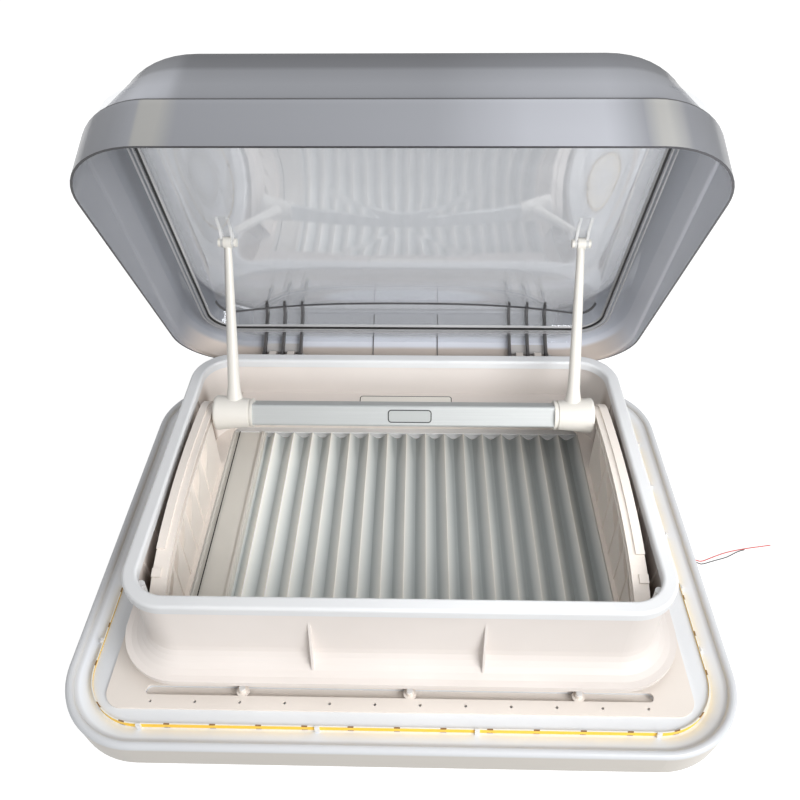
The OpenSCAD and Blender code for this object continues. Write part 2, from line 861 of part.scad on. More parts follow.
// Moving hinge half: three ribs that follow the dome's rear wall up to its top
module hinge_leaf(side) {
    low = hinge_z + 3;
    high = crown_z - dome_t - 8;
    top = crown_z - dome_t - slide_gap;
    crown_y = dome_y1 - crown_inset - dome_t - 2 * hinge_rib_d;
    rib_half = hinge_rib_t / 2;
    half = hinge_rib_pitch + rib_half;
    tie_z0 = hinge_z + knuckle_r + 2;
    tie_z1 = pane_z - 6;
    tie_t = 2;
    function back(z) = dome_y1 - inner_inset(z) - slide_gap;
    color("dimgray")
        opened()
            translate([side * hinge_x, 0, 0])
                difference() {
                    union() {
                        across_x(-half, half)
                            polygon([
                                [back(tie_z0) - tie_t, tie_z0], [back(tie_z0), tie_z0],
                                [back(tie_z1), tie_z1], [back(tie_z1) - tie_t, tie_z1]
                            ]);
                        for (k = [-1:1])
                            across_x(k * hinge_rib_pitch - rib_half, k * hinge_rib_pitch + rib_half) {
                                translate(hinge)
                                    circle(knuckle_r);
                                polygon([
                                    [hinge_y, hinge_z - knuckle_r / 2], [back(low) - 1, low],
                                    [back(tie_z0), tie_z0],
                                    [back(high), high], [back(high) - hinge_rib_d, top], [crown_y, top],
                                    [crown_y, high], [back(high) - hinge_rib_d, high - hinge_rib_d],
                                    [back(tie_z1) - hinge_rib_d, tie_z1],
                                    [hinge_y - knuckle_r / 2, hinge_z + knuckle_r / 2]
                                ]);
                            }
                    }
                    x_cylinder(-half - 1, half + 1, hinge_pin_r + pin_gap, hinge);
                }
}

module lead_grommet() {
    color("gray")
        translate([grommet_at.x, grommet_at.y, grommet_at.z])
            rotate([0, 90, 0])
                difference() {
                    union() {
                        translate([0, 0, -grommet_in])
                            cylinder(h = grommet_in + grommet_out, r = grommet_r - 1);
                        translate([0, 0, grommet_seat])
                            cylinder(h = grommet_lip, r = grommet_r);
                    }
                    for (s = [-1, 1])
                        translate([0, s * lead_apart / 2, -grommet_in - 1])
                            cylinder(h = grommet_in + 2, r = lead_d / 2);
                }
}

// Tube along a route from the grommet's face, with a ring at every point
module lead(offsets) {
    sides = 8;
    start = [grommet_at.x + grommet_out, grommet_at.y, tray_bottom];
    route = [for (p = offsets) start + p];
    last = len(route) - 1;
    function aim(i) = let (t = route[min(i + 1, last)] - route[max(i - 1, 0)]) t / norm(t);
    function right_of(t) = let (c = cross(t, [0, 0, 1])) c / norm(c);
    points = [
        for (i = [0:last], k = [0:sides - 1])
            let (t = i == 0 ? [1, 0, 0] : aim(i), u = right_of(t), v = cross(u, t))
            let (a = 360 * (k + 0.5) / sides)
            route[i] + lead_d / 2 * (cos(a) * u + sin(a) * v)
    ];
    sides_faces = [
        for (i = [0:last - 1], k = [0:sides - 1])
            let (a = i * sides + k, b = i * sides + (k + 1) % sides)
            each [[a, a + sides, b], [b, a + sides, b + sides]]
    ];
    caps = [
        for (k = [1:sides - 2])
            each [[0, k, k + 1], [last * sides, last * sides + k + 1, last * sides + k]]
    ];
    polyhedron(points, concat(sides_faces, caps));
}

module lead_red() {
    color("red")
        lead(lead_red_route);
}

module lead_black() {
    color("black")
        lead(lead_black_route);
}

// Closed outer form of the dome, grown inwards by an inset
module dome_form(inset) {
    skirt_top = step_z - (inset > 0 ? dome_t : 0);
    skirt_low = skirt_front_z / 2;
    translate([0, dome_mid, 0]) {
        slab(dome_w - 2 * inset, dome_d - 2 * inset, dome_corner - inset, skirt_low, skirt_top);
        hull() {
            dome_section(step_w + inset, dome_corner - step_w - inset, skirt_top - thin);
            dome_section(crown_inset + inset, crown_corner - inset, crown_z - inset - thin);
        }
    }
}

// Thin section of the dome at one height
module dome_section(inset, corner, z) {
    translate([0, 0, z])
        linear_extrude(thin)
            rounded_rect(dome_w - 2 * inset, dome_d - 2 * inset, corner, $fn = 64);
}

module dome_shell() {
    color("slategray", 0.45)
        opened()
            difference() {
                dome_form(0);
                dome_form(dome_t);
                translate([0, dome_y0, skirt_front_z])
                    rotate([skirt_slope, 0, 0])
                        translate([-dome_w, -dome_d, -dome_d])
                            cube([2 * dome_w, 3 * dome_d, dome_d]);
            }
}

// Raised middle of the pane, grown inwards by an inset
module pane_middle(inset, z0, z1) {
    foot_w = 2 * (seal_x - seal_w) - 2 * inset;
    foot_d = 2 * (seal_y - seal_w) - 2 * inset;
    foot_corner = seal_corner - seal_w - inset;
    hull() {
        translate([0, 0, z0])
            linear_extrude(thin)
                rounded_rect(foot_w, foot_d, foot_corner);
        translate([0, 0, z1 - thin])
            linear_extrude(thin)
                rounded_rect(foot_w - 2 * pane_slope, foot_d - 2 * pane_slope, foot_corner);
    }
}

module inner_pane() {
    edge = inner_inset(pane_top) + slide_gap;
    corner = inner_corner(pane_top) - slide_gap;
    notch_w = 2 * hinge_rib_pitch + 2 * hinge_rib_t;
    notch_y = dome_y1 - inner_inset(pane_z) - 2 * hinge_rib_d;
    color("lightsteelblue", 0.3)
        opened()
            difference() {
                union() {
                    translate([0, dome_mid, 0])
                        slab(dome_w - 2 * edge, dome_d - 2 * edge, corner, pane_z, pane_top);
                    pane_middle(0, pane_z, ceiling_z + pane_t);
                }
                pane_middle(pane_t, pane_z - thin, ceiling_z);
                for (s = [-1, 1])
                    translate([s * hinge_x - notch_w / 2, notch_y, pane_z - 1])
                        cube([notch_w, 3 * hinge_rib_d, pane_t + 2]);
            }
}

module pane_seal() {
    color("black")
        opened()
            ring_slab(
                2 * seal_x, 2 * seal_y, seal_corner,
                2 * (seal_x - seal_w), 2 * (seal_y - seal_w), seal_corner - seal_w,
                pane_z - seal_h, pane_z
            );
}

// Clear two-eared bracket under the pane, with two ridges towards the front
bracket_t = 4;
bracket_gap = eye_l / 2 + slide_gap;
bracket_half = bracket_gap + bracket_t;
module arm_bracket(side) {
    ear_r = pivot_pin_r + 3;
    foot_t = 2;
    foot_rear = pivot_y + 2 * ear_r;
    ridge_y = pivot_y - 48;
    color("white", 0.5)
        opened()
            translate([side * arm_x, 0, 0])
                difference() {
                    union() {
                        translate([-bracket_half, ridge_y, ceiling_z - foot_t])
                            cube([2 * bracket_half, foot_rear - ridge_y, foot_t]);
                        for (x = [-bracket_half, bracket_gap])
                            across_x(x, x + bracket_half - bracket_gap) {
                                translate(pivot_closed)
                                    circle(ear_r);
                                polygon([
                                    [pivot_y - ear_r, pivot_z], [pivot_y + ear_r, pivot_z],
                                    [pivot_y + ear_r, ceiling_z], [ridge_y, ceiling_z],
                                    [ridge_y, ceiling_z - foot_t],
                                    [pivot_y - 3 * ear_r, ceiling_z - 2 * foot_t]
                                ]);
                            }
                    }
                    x_cylinder(-bracket_half - 1, bracket_half + 1, pivot_pin_r + pin_gap, pivot_closed);
                    x_cylinder(-bracket_gap, bracket_gap, eye_r + slide_gap, pivot_closed);
                }
}

module pivot_pin(side) {
    head_l = 4;
    head_r = pivot_pin_r + 2.5;
    color("white")
        opened()
            translate([side * arm_x, 0, 0]) {
                x_cylinder(-bracket_half, bracket_half, pivot_pin_r, pivot_closed);
                x_cylinder(bracket_half, bracket_half + head_l, head_r, pivot_closed);
                x_cylinder(-bracket_half - head_l, -bracket_half, head_r, pivot_closed);
            }
}

// Square tube with round edges
module crossbar() {
    hollow = bar_size - 2 * bar_wall;
    tilt = heading(bar_open, pivot_open) - 90;
    color("silver")
        across_x(-block_x0, block_x0)
            translate(bar_open)
                rotate(tilt)
                    difference() {
                        rounded_rect(bar_size, bar_size, bar_edge);
                        rounded_rect(hollow, hollow, bar_edge - bar_wall / 2);
                    }
}

// Outline of an end block: ring lip, groove, widening body and round outer edge
function block_outline() = concat(
    [[0, 0], [block_neck_r, 0], [block_neck_r, ring_l], [block_neck_r - 1.5, ring_l]],
    [[block_neck_r - 1.5, 2 * ring_l], [block_neck_r, 2 * ring_l]],
    arc([block_r - block_edge, block_l - block_edge], block_edge, 0, 90, 5),
    [[0, block_l]]
);
pin_seat = 8;

// Block on the end of the crossbar
module end_block(side) {
    color("ivory")
        on_side(side)
            difference() {
                x_turned(block_x0, bar_open, block_outline());
                x_cylinder(block_x1 - pin_seat, block_x1 + 1, guide_pin_r, bar_open);
            }
}

module guide_pin(side) {
    color("white")
        on_side(side)
            x_cylinder(block_x1 - pin_seat, rail_x0 + slot_depth - 1, guide_pin_r, bar_open);
}

// Outline of an arm from the block's axis to the eye: a flared foot and a slow taper
function arm_outline(start, end) = concat(
    [[0, start]],
    [for (i = [0:6]) [arm_foot_r + arm_flare * (1 - i / 6) ^ 2, start + flare_l * i / 6]],
    [[arm_top_r, end], [0, end]]
);

// Tapered arm from the end block to the pivot's eye
module arm(side) {
    tilt = heading(bar_open, pivot_open);
    color("ivory")
        on_side(side)
            difference() {
                union() {
                    translate([arm_x, bar_open.x, bar_open.y])
                        rotate([tilt - 90, 0, 0])
                            rotate_extrude()
                                polygon(arm_outline(block_neck_r * 0.7, arm_l - eye_r / 2));
                    x_cylinder(arm_x - eye_l / 2, arm_x + eye_l / 2, eye_r, pivot_open);
                }
                x_cylinder(arm_x - eye_l, arm_x + eye_l, pivot_pin_r + pin_gap, pivot_open);
                x_turned(block_x0, bar_open, block_outline());
            }
}

// Rail that slides in the channels, with a raised grip along one edge
module slide_rail(x0, x1, grip) {
    z0 = blind_z - slide_t / 2;
    top = z0 + slide_t;
    grip_w = 6;
    grip_h = 4;
    along_y(slide_l)
        translate([x0, z0])
            square([x1 - x0, slide_t]);
    along_y(throat_d - 2 * slide_gap)
        polygon([
            [grip, top], [grip + grip_w, top],
            [grip + grip_w - 1, top + grip_h], [grip + 1, top + grip_h]
        ]);
}

module blind_rail() {
    color("lightgray")
        slide_rail(pull_x0, pull_x1, pull_x1 - 8);
}

module screen_rail() {
    color("lightgray")
        slide_rail(screen_x0, screen_x1, screen_x0 + 2);
}

// Cloth folded to and fro between two places
module pleats(x0, x1, count, height, thick) {
    pitch = (x1 - x0) / count;
    lean = norm([pitch / 2, height]);
    rise = thick * lean / pitch;
    function fold(i) = i == 0 || i == 2 * count ? 0 : i % 2 == 0 ? -height / 2 : height / 2;
    line = [for (i = [0:2 * count]) [x0 + i * pitch / 2, blind_z + fold(i)]];
    along_y(cloth_d)
        polygon(concat([for (p = line) p + [0, rise]], reversed([for (p = line) p - [0, rise]])));
}

module pleated_blind() {
    color("silver")
        pleats(pull_x1 + slide_gap, blind_x1, pleat_count, pleat_h, cloth_t);
}

module flyscreen() {
    color("dimgray")
        pleats(-blind_x1, screen_x0 - slide_gap, screen_folds, slide_t, mesh_t);
}

ceiling_trim();
light_frame();
led_strip();
led_clips();
blind_cassette();
clamp_screws();
guide(LEFT);  // guide_front
guide(RIGHT);  // guide_rear
collar();
rim_seal();
side_rail(LEFT);  // rail_left
side_rail(RIGHT);  // rail_right
rail_stops();
hinge_base(LEFT);  // hinge_base_left
hinge_base(RIGHT);  // hinge_base_right
hinge_pin(LEFT);  // hinge_pin_left
hinge_pin(RIGHT);  // hinge_pin_right
lead_grommet();
lead_red();
lead_black();
dome_shell();
inner_pane();
pane_seal();
hinge_leaf(LEFT);  // hinge_leaf_left
hinge_leaf(RIGHT);  // hinge_leaf_right
arm_bracket(LEFT);  // arm_bracket_left
arm_bracket(RIGHT);  // arm_bracket_right
pivot_pin(LEFT);  // pivot_pin_left
pivot_pin(RIGHT);  // pivot_pin_right
crossbar();
end_block(LEFT);  // end_block_left
end_block(RIGHT);  // end_block_right
arm(LEFT);  // arm_left
arm(RIGHT);  // arm_right
guide_pin(LEFT);  // guide_pin_left
guide_pin(RIGHT);  // guide_pin_right
blind_rail();
pleated_blind();
screen_rail();
flyscreen();
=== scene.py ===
# %% [markdown]
# # A caravan roof vent, dressed for its portrait
# The part comes from CAD as plain solids in their true places. This lesson keeps those that
# already have the right shape, replaces the soft and the see-through ones, and gives each
# surface a finish. Blender works in metres, in the part's own frame; sizes that come from the
# drawing are written in millimetres and multiplied by MM.

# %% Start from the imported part
import math

import bmesh
import bpy
from mathutils import Matrix, Vector


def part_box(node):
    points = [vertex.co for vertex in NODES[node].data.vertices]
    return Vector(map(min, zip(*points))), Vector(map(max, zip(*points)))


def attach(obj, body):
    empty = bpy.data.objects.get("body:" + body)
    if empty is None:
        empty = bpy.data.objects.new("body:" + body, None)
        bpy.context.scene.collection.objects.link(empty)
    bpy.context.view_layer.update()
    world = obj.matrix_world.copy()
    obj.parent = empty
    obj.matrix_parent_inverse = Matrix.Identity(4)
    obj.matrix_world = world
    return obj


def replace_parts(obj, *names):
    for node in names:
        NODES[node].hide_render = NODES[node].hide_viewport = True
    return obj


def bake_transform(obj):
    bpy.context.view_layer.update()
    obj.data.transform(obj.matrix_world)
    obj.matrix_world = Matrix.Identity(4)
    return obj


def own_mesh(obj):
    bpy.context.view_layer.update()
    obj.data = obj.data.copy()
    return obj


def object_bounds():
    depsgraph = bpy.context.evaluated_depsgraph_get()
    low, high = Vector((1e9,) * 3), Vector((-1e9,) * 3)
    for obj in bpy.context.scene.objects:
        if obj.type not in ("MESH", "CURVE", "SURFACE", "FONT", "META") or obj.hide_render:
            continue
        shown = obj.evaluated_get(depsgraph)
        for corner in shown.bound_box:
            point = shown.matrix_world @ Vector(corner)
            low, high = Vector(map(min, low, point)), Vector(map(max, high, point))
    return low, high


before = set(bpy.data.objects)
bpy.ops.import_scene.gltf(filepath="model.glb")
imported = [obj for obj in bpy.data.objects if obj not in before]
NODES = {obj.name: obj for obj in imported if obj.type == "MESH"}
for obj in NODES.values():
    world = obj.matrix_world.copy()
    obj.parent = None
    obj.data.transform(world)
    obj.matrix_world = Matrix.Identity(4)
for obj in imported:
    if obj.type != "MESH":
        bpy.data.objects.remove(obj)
CAD_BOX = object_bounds()
MM = 0.001
print("nodes:", len(NODES), "box:", [[round(v, 3) for v in p] for p in CAD_BOX])

# %% [markdown]
# ## Camera
# The photograph was taken from the front, close to the middle, looking down at about forty
# degrees. The camera's place and angles were fitted to the rim's and the trim's corners. A
# camera looks along its own -Z, so its matrix is built from right, up and backward.

# %% Camera at the photograph's angle
PHOTO_SIDE = 800
FOCAL_PX = 765
SENSOR_MM = 36
CAMERA_AT = Vector((0.023, -0.786, 0.943))
PITCH, YAW, ROLL = (math.radians(a) for a in (41.10, -1.73, -0.69))


def camera_matrix(at, pitch, yaw, roll):
    level = math.cos(pitch)
    ahead = Vector((math.sin(yaw) * level, math.cos(yaw) * level, -math.sin(pitch)))
    right = Vector((math.cos(yaw), -math.sin(yaw), 0))
    up = right.cross(ahead)
    right, up = (
        right * math.cos(roll) + up * math.sin(roll),
        up * math.cos(roll) - right * math.sin(roll),
    )
    turn = Matrix((right, up, -ahead)).transposed()
    return Matrix.Translation(at) @ turn.to_4x4()


bpy.ops.object.select_all(action="DESELECT")
bpy.ops.object.camera_add()
camera = bpy.context.object
camera.name = "photo_camera"
camera.matrix_world = camera_matrix(CAMERA_AT, PITCH, YAW, ROLL)
camera.data.sensor_width = SENSOR_MM
camera.data.lens = FOCAL_PX * SENSOR_MM / PHOTO_SIDE
camera.data.clip_end = 100
bpy.context.scene.camera = camera
print("lens:", round(camera.data.lens, 2), "mm")

# %% [markdown]
# ## A short way to write shaders
# Each finish is a few nodes and some arithmetic. This small class wraps a socket, so that the
# arithmetic reads as ordinary Python: every operator adds one Math node. The reflected forms are
# there too, so that 1 - mask works.


# %% Sockets that can be added and multiplied
class Sock:
    def __init__(self, nodes, socket):
        self.nodes, self.socket = nodes, socket

    def math(self, operation, *values):
        return self.nodes.node("ShaderNodeMath", {"operation": operation}, dict(enumerate(values)))

    def __add__(self, other):
        return self.math("ADD", self, other)

    def __radd__(self, other):
        return self.math("ADD", other, self)

    def __sub__(self, other):
        return self.math("SUBTRACT", self, other)

    def __rsub__(self, other):
        return self.math("SUBTRACT", other, self)

    def __mul__(self, other):
        return self.math("MULTIPLY", self, other)

    def __rmul__(self, other):
        return self.math("MULTIPLY", other, self)

    def __truediv__(self, other):
        return self.math("DIVIDE", self, other)

    def __pow__(self, other):
        return self.math("POWER", self, other)


print("sockets ready")

# %% [markdown]
# ## Nodes and finishes
# All other nodes come from one method, which takes the node's type, its settings and what goes
# into its sockets. The sky uses it as it is. A finish adds a Principled shader and the few
# patterns that the materials share.


# %% Node trees and materials
class Nodes:
    """A node tree under construction: node() adds a node, put() sets or links a socket."""

    def __init__(self, tree):
        self.tree = tree

    def put(self, socket, value):
        if isinstance(value, Sock):
            self.tree.links.new(value.socket, socket)
        else:
            socket.default_value = value

    def node(self, kind, settings=None, values=None, out=0):
        n = self.tree.nodes.new(kind)
        for key, value in (settings or {}).items():
            if key == "stops":
                self.set_stops(n.color_ramp, value)
            else:
                setattr(n, key, value)
        for key, value in (values or {}).items():
            self.put(n.inputs[key], value)
        return Sock(self, n.outputs[out])

    def set_stops(self, ramp, stops):
        while len(ramp.elements) < len(stops):
            ramp.elements.new(1)
        for element, (place, colour) in zip(ramp.elements, stops):
            element.position = place
            element.color = (*colour, 1)

    def ramp(self, value, stops):
        return self.node("ShaderNodeValToRGB", {"stops": stops}, {"Fac": value}, out="Color")

    def xyz(self, place):
        split = self.node("ShaderNodeSeparateXYZ", values={0: place})
        return [Sock(self, socket) for socket in split.socket.node.outputs]


class Finish(Nodes):
    """A material under construction: shade() sets its Principled shader."""

    def __init__(self, name):
        self.material = bpy.data.materials.new(name)
        self.material.use_nodes = True
        super().__init__(self.material.node_tree)
        self.shader = next(n for n in self.tree.nodes if n.type == "BSDF_PRINCIPLED")
        self.output = next(n for n in self.tree.nodes if n.type == "OUTPUT_MATERIAL")

    def shade(self, **values):
        for key, value in values.items():
            self.put(self.shader.inputs[key.replace("_", " ").title()], value)

    def place(self):
        return self.node("ShaderNodeTexCoord", out="Object")

    def noise(self, scale, detail, at=None):
        values = {"Vector": at or self.place(), "Scale": scale, "Detail": detail}
        return self.node("ShaderNodeTexNoise", values=values, out="Fac")

    def stretched_noise(self, scales, detail):
        at = self.node("ShaderNodeMapping", values={"Vector": self.place(), "Scale": scales})
        return self.noise(1, detail, at)

    def bump(self, height, strength, distance):
        values = {"Height": height, "Strength": strength, "Distance": distance}
        return self.node("ShaderNodeBump", values=values, out="Normal")


def rgb(*c):
    return (*c, 1)


print("shader helpers ready")

# %% [markdown]
# ## Leads
# Two thin stranded leads of the light strip leave the trim through a grommet, fall to the table and
# lie there; their bare ends are not drawn. A lead is a curve with a round section: its points are
# the route of the CAD solid, and the spline is the centreline.

# %% Two leads on the table
LEAD_START = Vector((458, -27.5, -65))
LEAD_DIAMETER = 1.5
RED_ROUTE = [
    (0, 1.5, 13), (4, 1.7, 12.8), (8, 2.2, 11.6), (12, 3.1, 9), (16, 4.3, 5.8), (20, 5.7, 3),
    (25, 7.7, 1.3), (31, 10.3, 0.8), (39, 13.9, 0.8), (48, 17.9, 0.8), (57, 21.7, 0.8),
    (67, 25.3, 0.8), (78, 28.5, 0.8), (89, 31.2, 0.8), (101, 33.8, 0.8), (114, 36.3, 0.8),
    (129, 38.8, 0.8), (144, 41.5, 0.8),
]
BLACK_ROUTE = [
    (0, -1.5, 13), (4, -1.6, 12.7), (8, -1.5, 11.2), (12, -1.1, 8.4), (16, -0.3, 5.1),
    (20, 0.7, 2.5), (25, 2.3, 1.1), (31, 4.4, 0.8), (38, 6.9, 0.8), (45, 9.3, 0.8),
    (52, 11.5, 0.8), (59, 13.7, 0.8), (66, 16.3, 0.8), (73, 19.9, 0.8), (80, 24, 0.8),
    (87, 27.5, 0.8), (93, 29.8, 0.8), (99, 31.5, 0.8),
]


def lead(name, route, colour, node):
    points = [(LEAD_START + Vector(p)) * MM for p in route]
    curve = bpy.data.curves.new(name, "CURVE")
    curve.dimensions = "3D"
    spline = curve.splines.new("POLY")
    spline.points.add(len(points) - 1)
    for knot, p in zip(spline.points, points):
        knot.co = (*p, 1)
    curve.bevel_depth = LEAD_DIAMETER / 2 * MM
    curve.bevel_resolution = 3
    curve.use_fill_caps = True
    piece = bpy.data.objects.new(name, curve)
    bpy.context.scene.collection.objects.link(piece)
    sleeve = Finish(name + "_sleeve")
    wear = sleeve.noise(900, 2)
    sleeve.shade(base_color=rgb(*colour), roughness=0.42 + 0.16 * wear)
    curve.materials.append(sleeve.material)
    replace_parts(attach(piece, "frame"), node)


lead("lead_red_wire", RED_ROUTE, (0.62, 0.02, 0.015), "lead_red")
lead("lead_black_wire", BLACK_ROUTE, (0.012, 0.012, 0.013), "lead_black")

# %% [markdown]
# ## Moulded finishes
# Most of the vent is moulded plastic. Its colour drifts a little from place to place, and the
# mould leaves a very fine grain, so colour and roughness follow a large and a small noise. Metal
# is brushed along X instead: the same noise, drawn out into lines.

# %% Moulded plastics, metal and rubber
CLOUD_SCALE = 7
SPECK_SCALE = 1400
GRAIN_STRENGTH, GRAIN_DEPTH = 0.25, 0.08 * MM
BRUSH_SCALES = (6, 900, 900)


def grain(f, speck):
    return f.bump(speck, GRAIN_STRENGTH, GRAIN_DEPTH)


def moulded(name, light, dark, roughness):
    f = Finish(name)
    cloud = f.noise(CLOUD_SCALE, 2)
    speck = f.noise(SPECK_SCALE, 2)
    f.shade(
        base_color=f.ramp(cloud, [(0.3, dark), (0.7, light)]),
        roughness=roughness + 0.1 * (cloud - 0.5) + 0.08 * (speck - 0.5),
        normal=grain(f, speck),
    )
    return f.material


def brushed(name, light, dark, roughness, metallic):
    f = Finish(name)
    lines = f.stretched_noise(BRUSH_SCALES, 3)
    f.shade(
        base_color=f.ramp(lines, [(0.25, dark), (0.75, light)]),
        metallic=metallic,
        roughness=roughness + 0.14 * (lines - 0.5),
    )
    return f.material


CREAM_LIGHT, CREAM_DARK = (0.85, 0.785, 0.725), (0.81, 0.745, 0.685)
WHITE = moulded("white_moulding", (0.85, 0.85, 0.85), (0.81, 0.81, 0.81), 0.34)
CREAM = moulded("cream_moulding", CREAM_LIGHT, CREAM_DARK, 0.42)
FRAME_WHITE = moulded("light_frame_moulding", (0.79, 0.81, 0.835), (0.76, 0.78, 0.805), 0.3)
RIM = moulded("rim_moulding", (0.76, 0.77, 0.78), (0.72, 0.73, 0.745), 0.3)
IVORY = moulded("ivory_moulding", (0.76, 0.735, 0.685), (0.72, 0.695, 0.645), 0.34)
GREY_RAIL = moulded("pull_rail_moulding", (0.74, 0.72, 0.67), (0.70, 0.68, 0.63), 0.4)
RUBBER = moulded("grommet_rubber", (0.40, 0.40, 0.40), (0.34, 0.34, 0.34), 0.65)
SEAL = moulded("seal_rubber", (0.02, 0.02, 0.02), (0.012, 0.012, 0.012), 0.6)
STEEL = brushed("screw_steel", (0.72, 0.72, 0.72), (0.55, 0.55, 0.55), 0.32, 1.0)
ALUMINIUM = brushed("bar_aluminium", (0.56, 0.58, 0.58), (0.50, 0.52, 0.52), 0.52, 0.3)
print("materials:", len(bpy.data.materials))

# %% [markdown]
# ## Clear acrylic
# A thin acrylic wall lets light straight through, a little darkened, and mirrors more the
# flatter one looks along it. A Transparent shader and a mirror are mixed by that share, which
# is small head-on and rises with the fifth power of the angle. The pane's steep walls mirror
# less than its ceiling, so they have a finish of their own. The lift bow's brackets are acrylic
# too, and their outer cheeks are half frosted.

# %% See-through acrylic
PANE_TINT, PANE_MIRROR = (0.965, 0.97, 0.975), (0.93, 0.94, 0.96)
BRACKET_TINT, BRACKET_FROST = (0.97, 0.97, 0.97), (0.97, 0.97, 0.96)
BRACKET_X = 0.270
CHEEK_FROM = (0.0055, 0.0066)


def abs_of(sock):
    return sock.math("ABSOLUTE", sock)


def smooth(value, start, end, most=1):
    return value.nodes.node(
        "ShaderNodeMapRange", {"interpolation_type": "SMOOTHSTEP"},
        {"Value": value, "From Min": start, "From Max": end, "To Min": 0, "To Max": most},
    )


def see_through(f, tint, shine, solid, grazing):
    facing = f.node("ShaderNodeLayerWeight", values={"Blend": 0.5}, out="Facing")
    clear = f.node("ShaderNodeBsdfTransparent", values={"Color": rgb(*tint)})
    surface = Sock(f, f.shader.outputs[0])
    share = solid + (1 - solid) * (shine + (grazing - shine) * facing ** 5)
    mix = f.node("ShaderNodeMixShader", values={0: share, 1: clear, 2: surface})
    f.put(f.output.inputs["Surface"], mix)
    return f.material


def clear_pane(name, shine, grazing):
    f = Finish(name)
    f.shade(base_color=rgb(*PANE_MIRROR), metallic=1.0, roughness=0.02 + 0.03 * f.noise(4, 2))
    return see_through(f, PANE_TINT, shine, 0, grazing)


def bracket_acrylic():
    f = Finish("bracket_acrylic")
    x, _, _ = f.xyz(f.place())
    cheek = smooth(abs_of(abs_of(x) - BRACKET_X), *CHEEK_FROM)
    f.shade(base_color=rgb(*BRACKET_FROST), roughness=0.12 + 0.1 * f.noise(60, 2))
    return see_through(f, BRACKET_TINT, 0.05, 0.5 * cheek, 1.0)


CLEAR = clear_pane("clear_acrylic", 0.13, 1.0)
CLEAR_WALL = clear_pane("clear_acrylic_wall", 0.04, 0.4)
BRACKET = bracket_acrylic()
print("clear finishes:", [m.name for m in (CLEAR, CLEAR_WALL, BRACKET)])

# %% [markdown]
# ## Smoked acrylic
# The dome's walls are frosted and hide most of what is behind them. Its top is clear, and the upper
# middle of its rear wall is half clear. The tone of the frost is painted light and shade: it follows
# the height and the depth that a point has on the closed dome, which are found by turning its place
# back about the hinge, and it follows the place from left to right. Upright streaks of painted
# reflection break it up and also vary the roughness, and a band at the foot of the rear wall, beige
# inside, is a painted reflection of the collar.

# %% How the dome's wall is coloured
HINGE = Vector((0, 0.286, 0.108))
OPEN_ANGLE = math.radians(68)
CROWN_Z = 209
DOME_X = 388
REAR_Z, REAR_Y, REAR_X, REAR_CLEAR = (0.148, 0.160), (0.10, 0.20), (0.33, 0.26), 0.55
TOP_CLEAR_Z = (0.2040, 0.2085)
STEP_LINE_Z = (0.1045, 0.1055)
# painted reflection of the collar at the foot of the rear wall
FOOT_REFLECTION_Z, FOOT_REFLECTION_Y = (0.136, 0.128), (0.2, 0.28)
# upright streaks of painted reflection, which also vary the roughness
STREAK_SCALES = (22, 1.5, 1.5)
SMOKE, SMOKE_MIRROR = (0.77, 0.775, 0.79), (0.9, 0.91, 0.93)


def larger(sock, other):
    return sock.math("MAXIMUM", sock, other)


def mixed(f, share, a, b, blend="MIX"):
    settings = {"data_type": "RGBA", "blend_type": blend}
    return f.node("ShaderNodeMix", settings, {"Factor": share, "A": a, "B": b}, out="Result")


def multiplied(f, a, b):
    return mixed(f, 1.0, a, b, "MULTIPLY")


def dome_wall(name, heights, sides, upper_sides, ends, foot_reflection, grazing):
    f = Finish(name)
    x, y, z = f.xyz(f.place())
    rise = z - HINGE.z
    back = y - HINGE.y
    height = HINGE.z + math.sin(OPEN_ANGLE) * back + math.cos(OPEN_ANGLE) * rise
    depth = HINGE.y + math.cos(OPEN_ANGLE) * back - math.sin(OPEN_ANGLE) * rise
    rear = smooth(height, *REAR_Z) * smooth(depth, *REAR_Y) * smooth(abs_of(x), *REAR_X)
    frost = 1 - larger(REAR_CLEAR * rear, smooth(height, *TOP_CLEAR_Z))
    # painted reflection streaks, also in the roughness
    streak = f.stretched_noise(STREAK_SCALES, 3)
    place = x * (0.5 / (DOME_X * MM)) + 0.5 + 0.03 * (streak - 0.5)
    # painted light and shade: the frost's tone ramps by height, from left to right and towards the
    # rear
    above_step = smooth(height, *STEP_LINE_Z)
    across = mixed(f, above_step, f.ramp(place, sides), f.ramp(place, upper_sides))
    tone = multiplied(f, f.ramp(height / (CROWN_Z * MM), heights), across)
    tone = multiplied(f, tone, f.ramp(depth + 0.5, ends))
    # painted reflection of the collar at the foot of the rear wall
    tone = mixed(f, smooth(height, *FOOT_REFLECTION_Z) * smooth(depth, *FOOT_REFLECTION_Y), tone, rgb(*foot_reflection))
    f.shade(
        base_color=mixed(f, frost, rgb(*SMOKE_MIRROR), tone),
        metallic=1 - frost,
        roughness=0.03 + frost * (0.31 + 0.12 * (streak - 0.5)),
        coat_weight=0.3 * frost,
        coat_roughness=0.1,
    )
    return see_through(f, SMOKE, 0.05, frost, grazing)


print("dome turns back by", round(math.degrees(OPEN_ANGLE)), "degrees for its tones")

# %% [markdown]
# ## Tones of the dome
# These tones are painted light and shade. From the skirt to the crown the outside has a fine painted
# dark line at the step and a painted dark band below the crown. From left to right two warm painted
# glints stand in the skirt's corners, the shoulder's corners carry painted highlights, painted light
# brightens the right as if more came through, and the right corner is painted darker. The inside is
# paler, painted darker on the left and towards the crown, and painted lighter towards the rear.


# %% Dome outside, inside and edge lines
def grey(*tones):
    return [(place, (0.99 * tone, tone, 1.03 * tone)) for place, tone in tones]


def glint(start, end):
    return [(start, WARM_LIGHT), (end, WARM_LIGHT)]


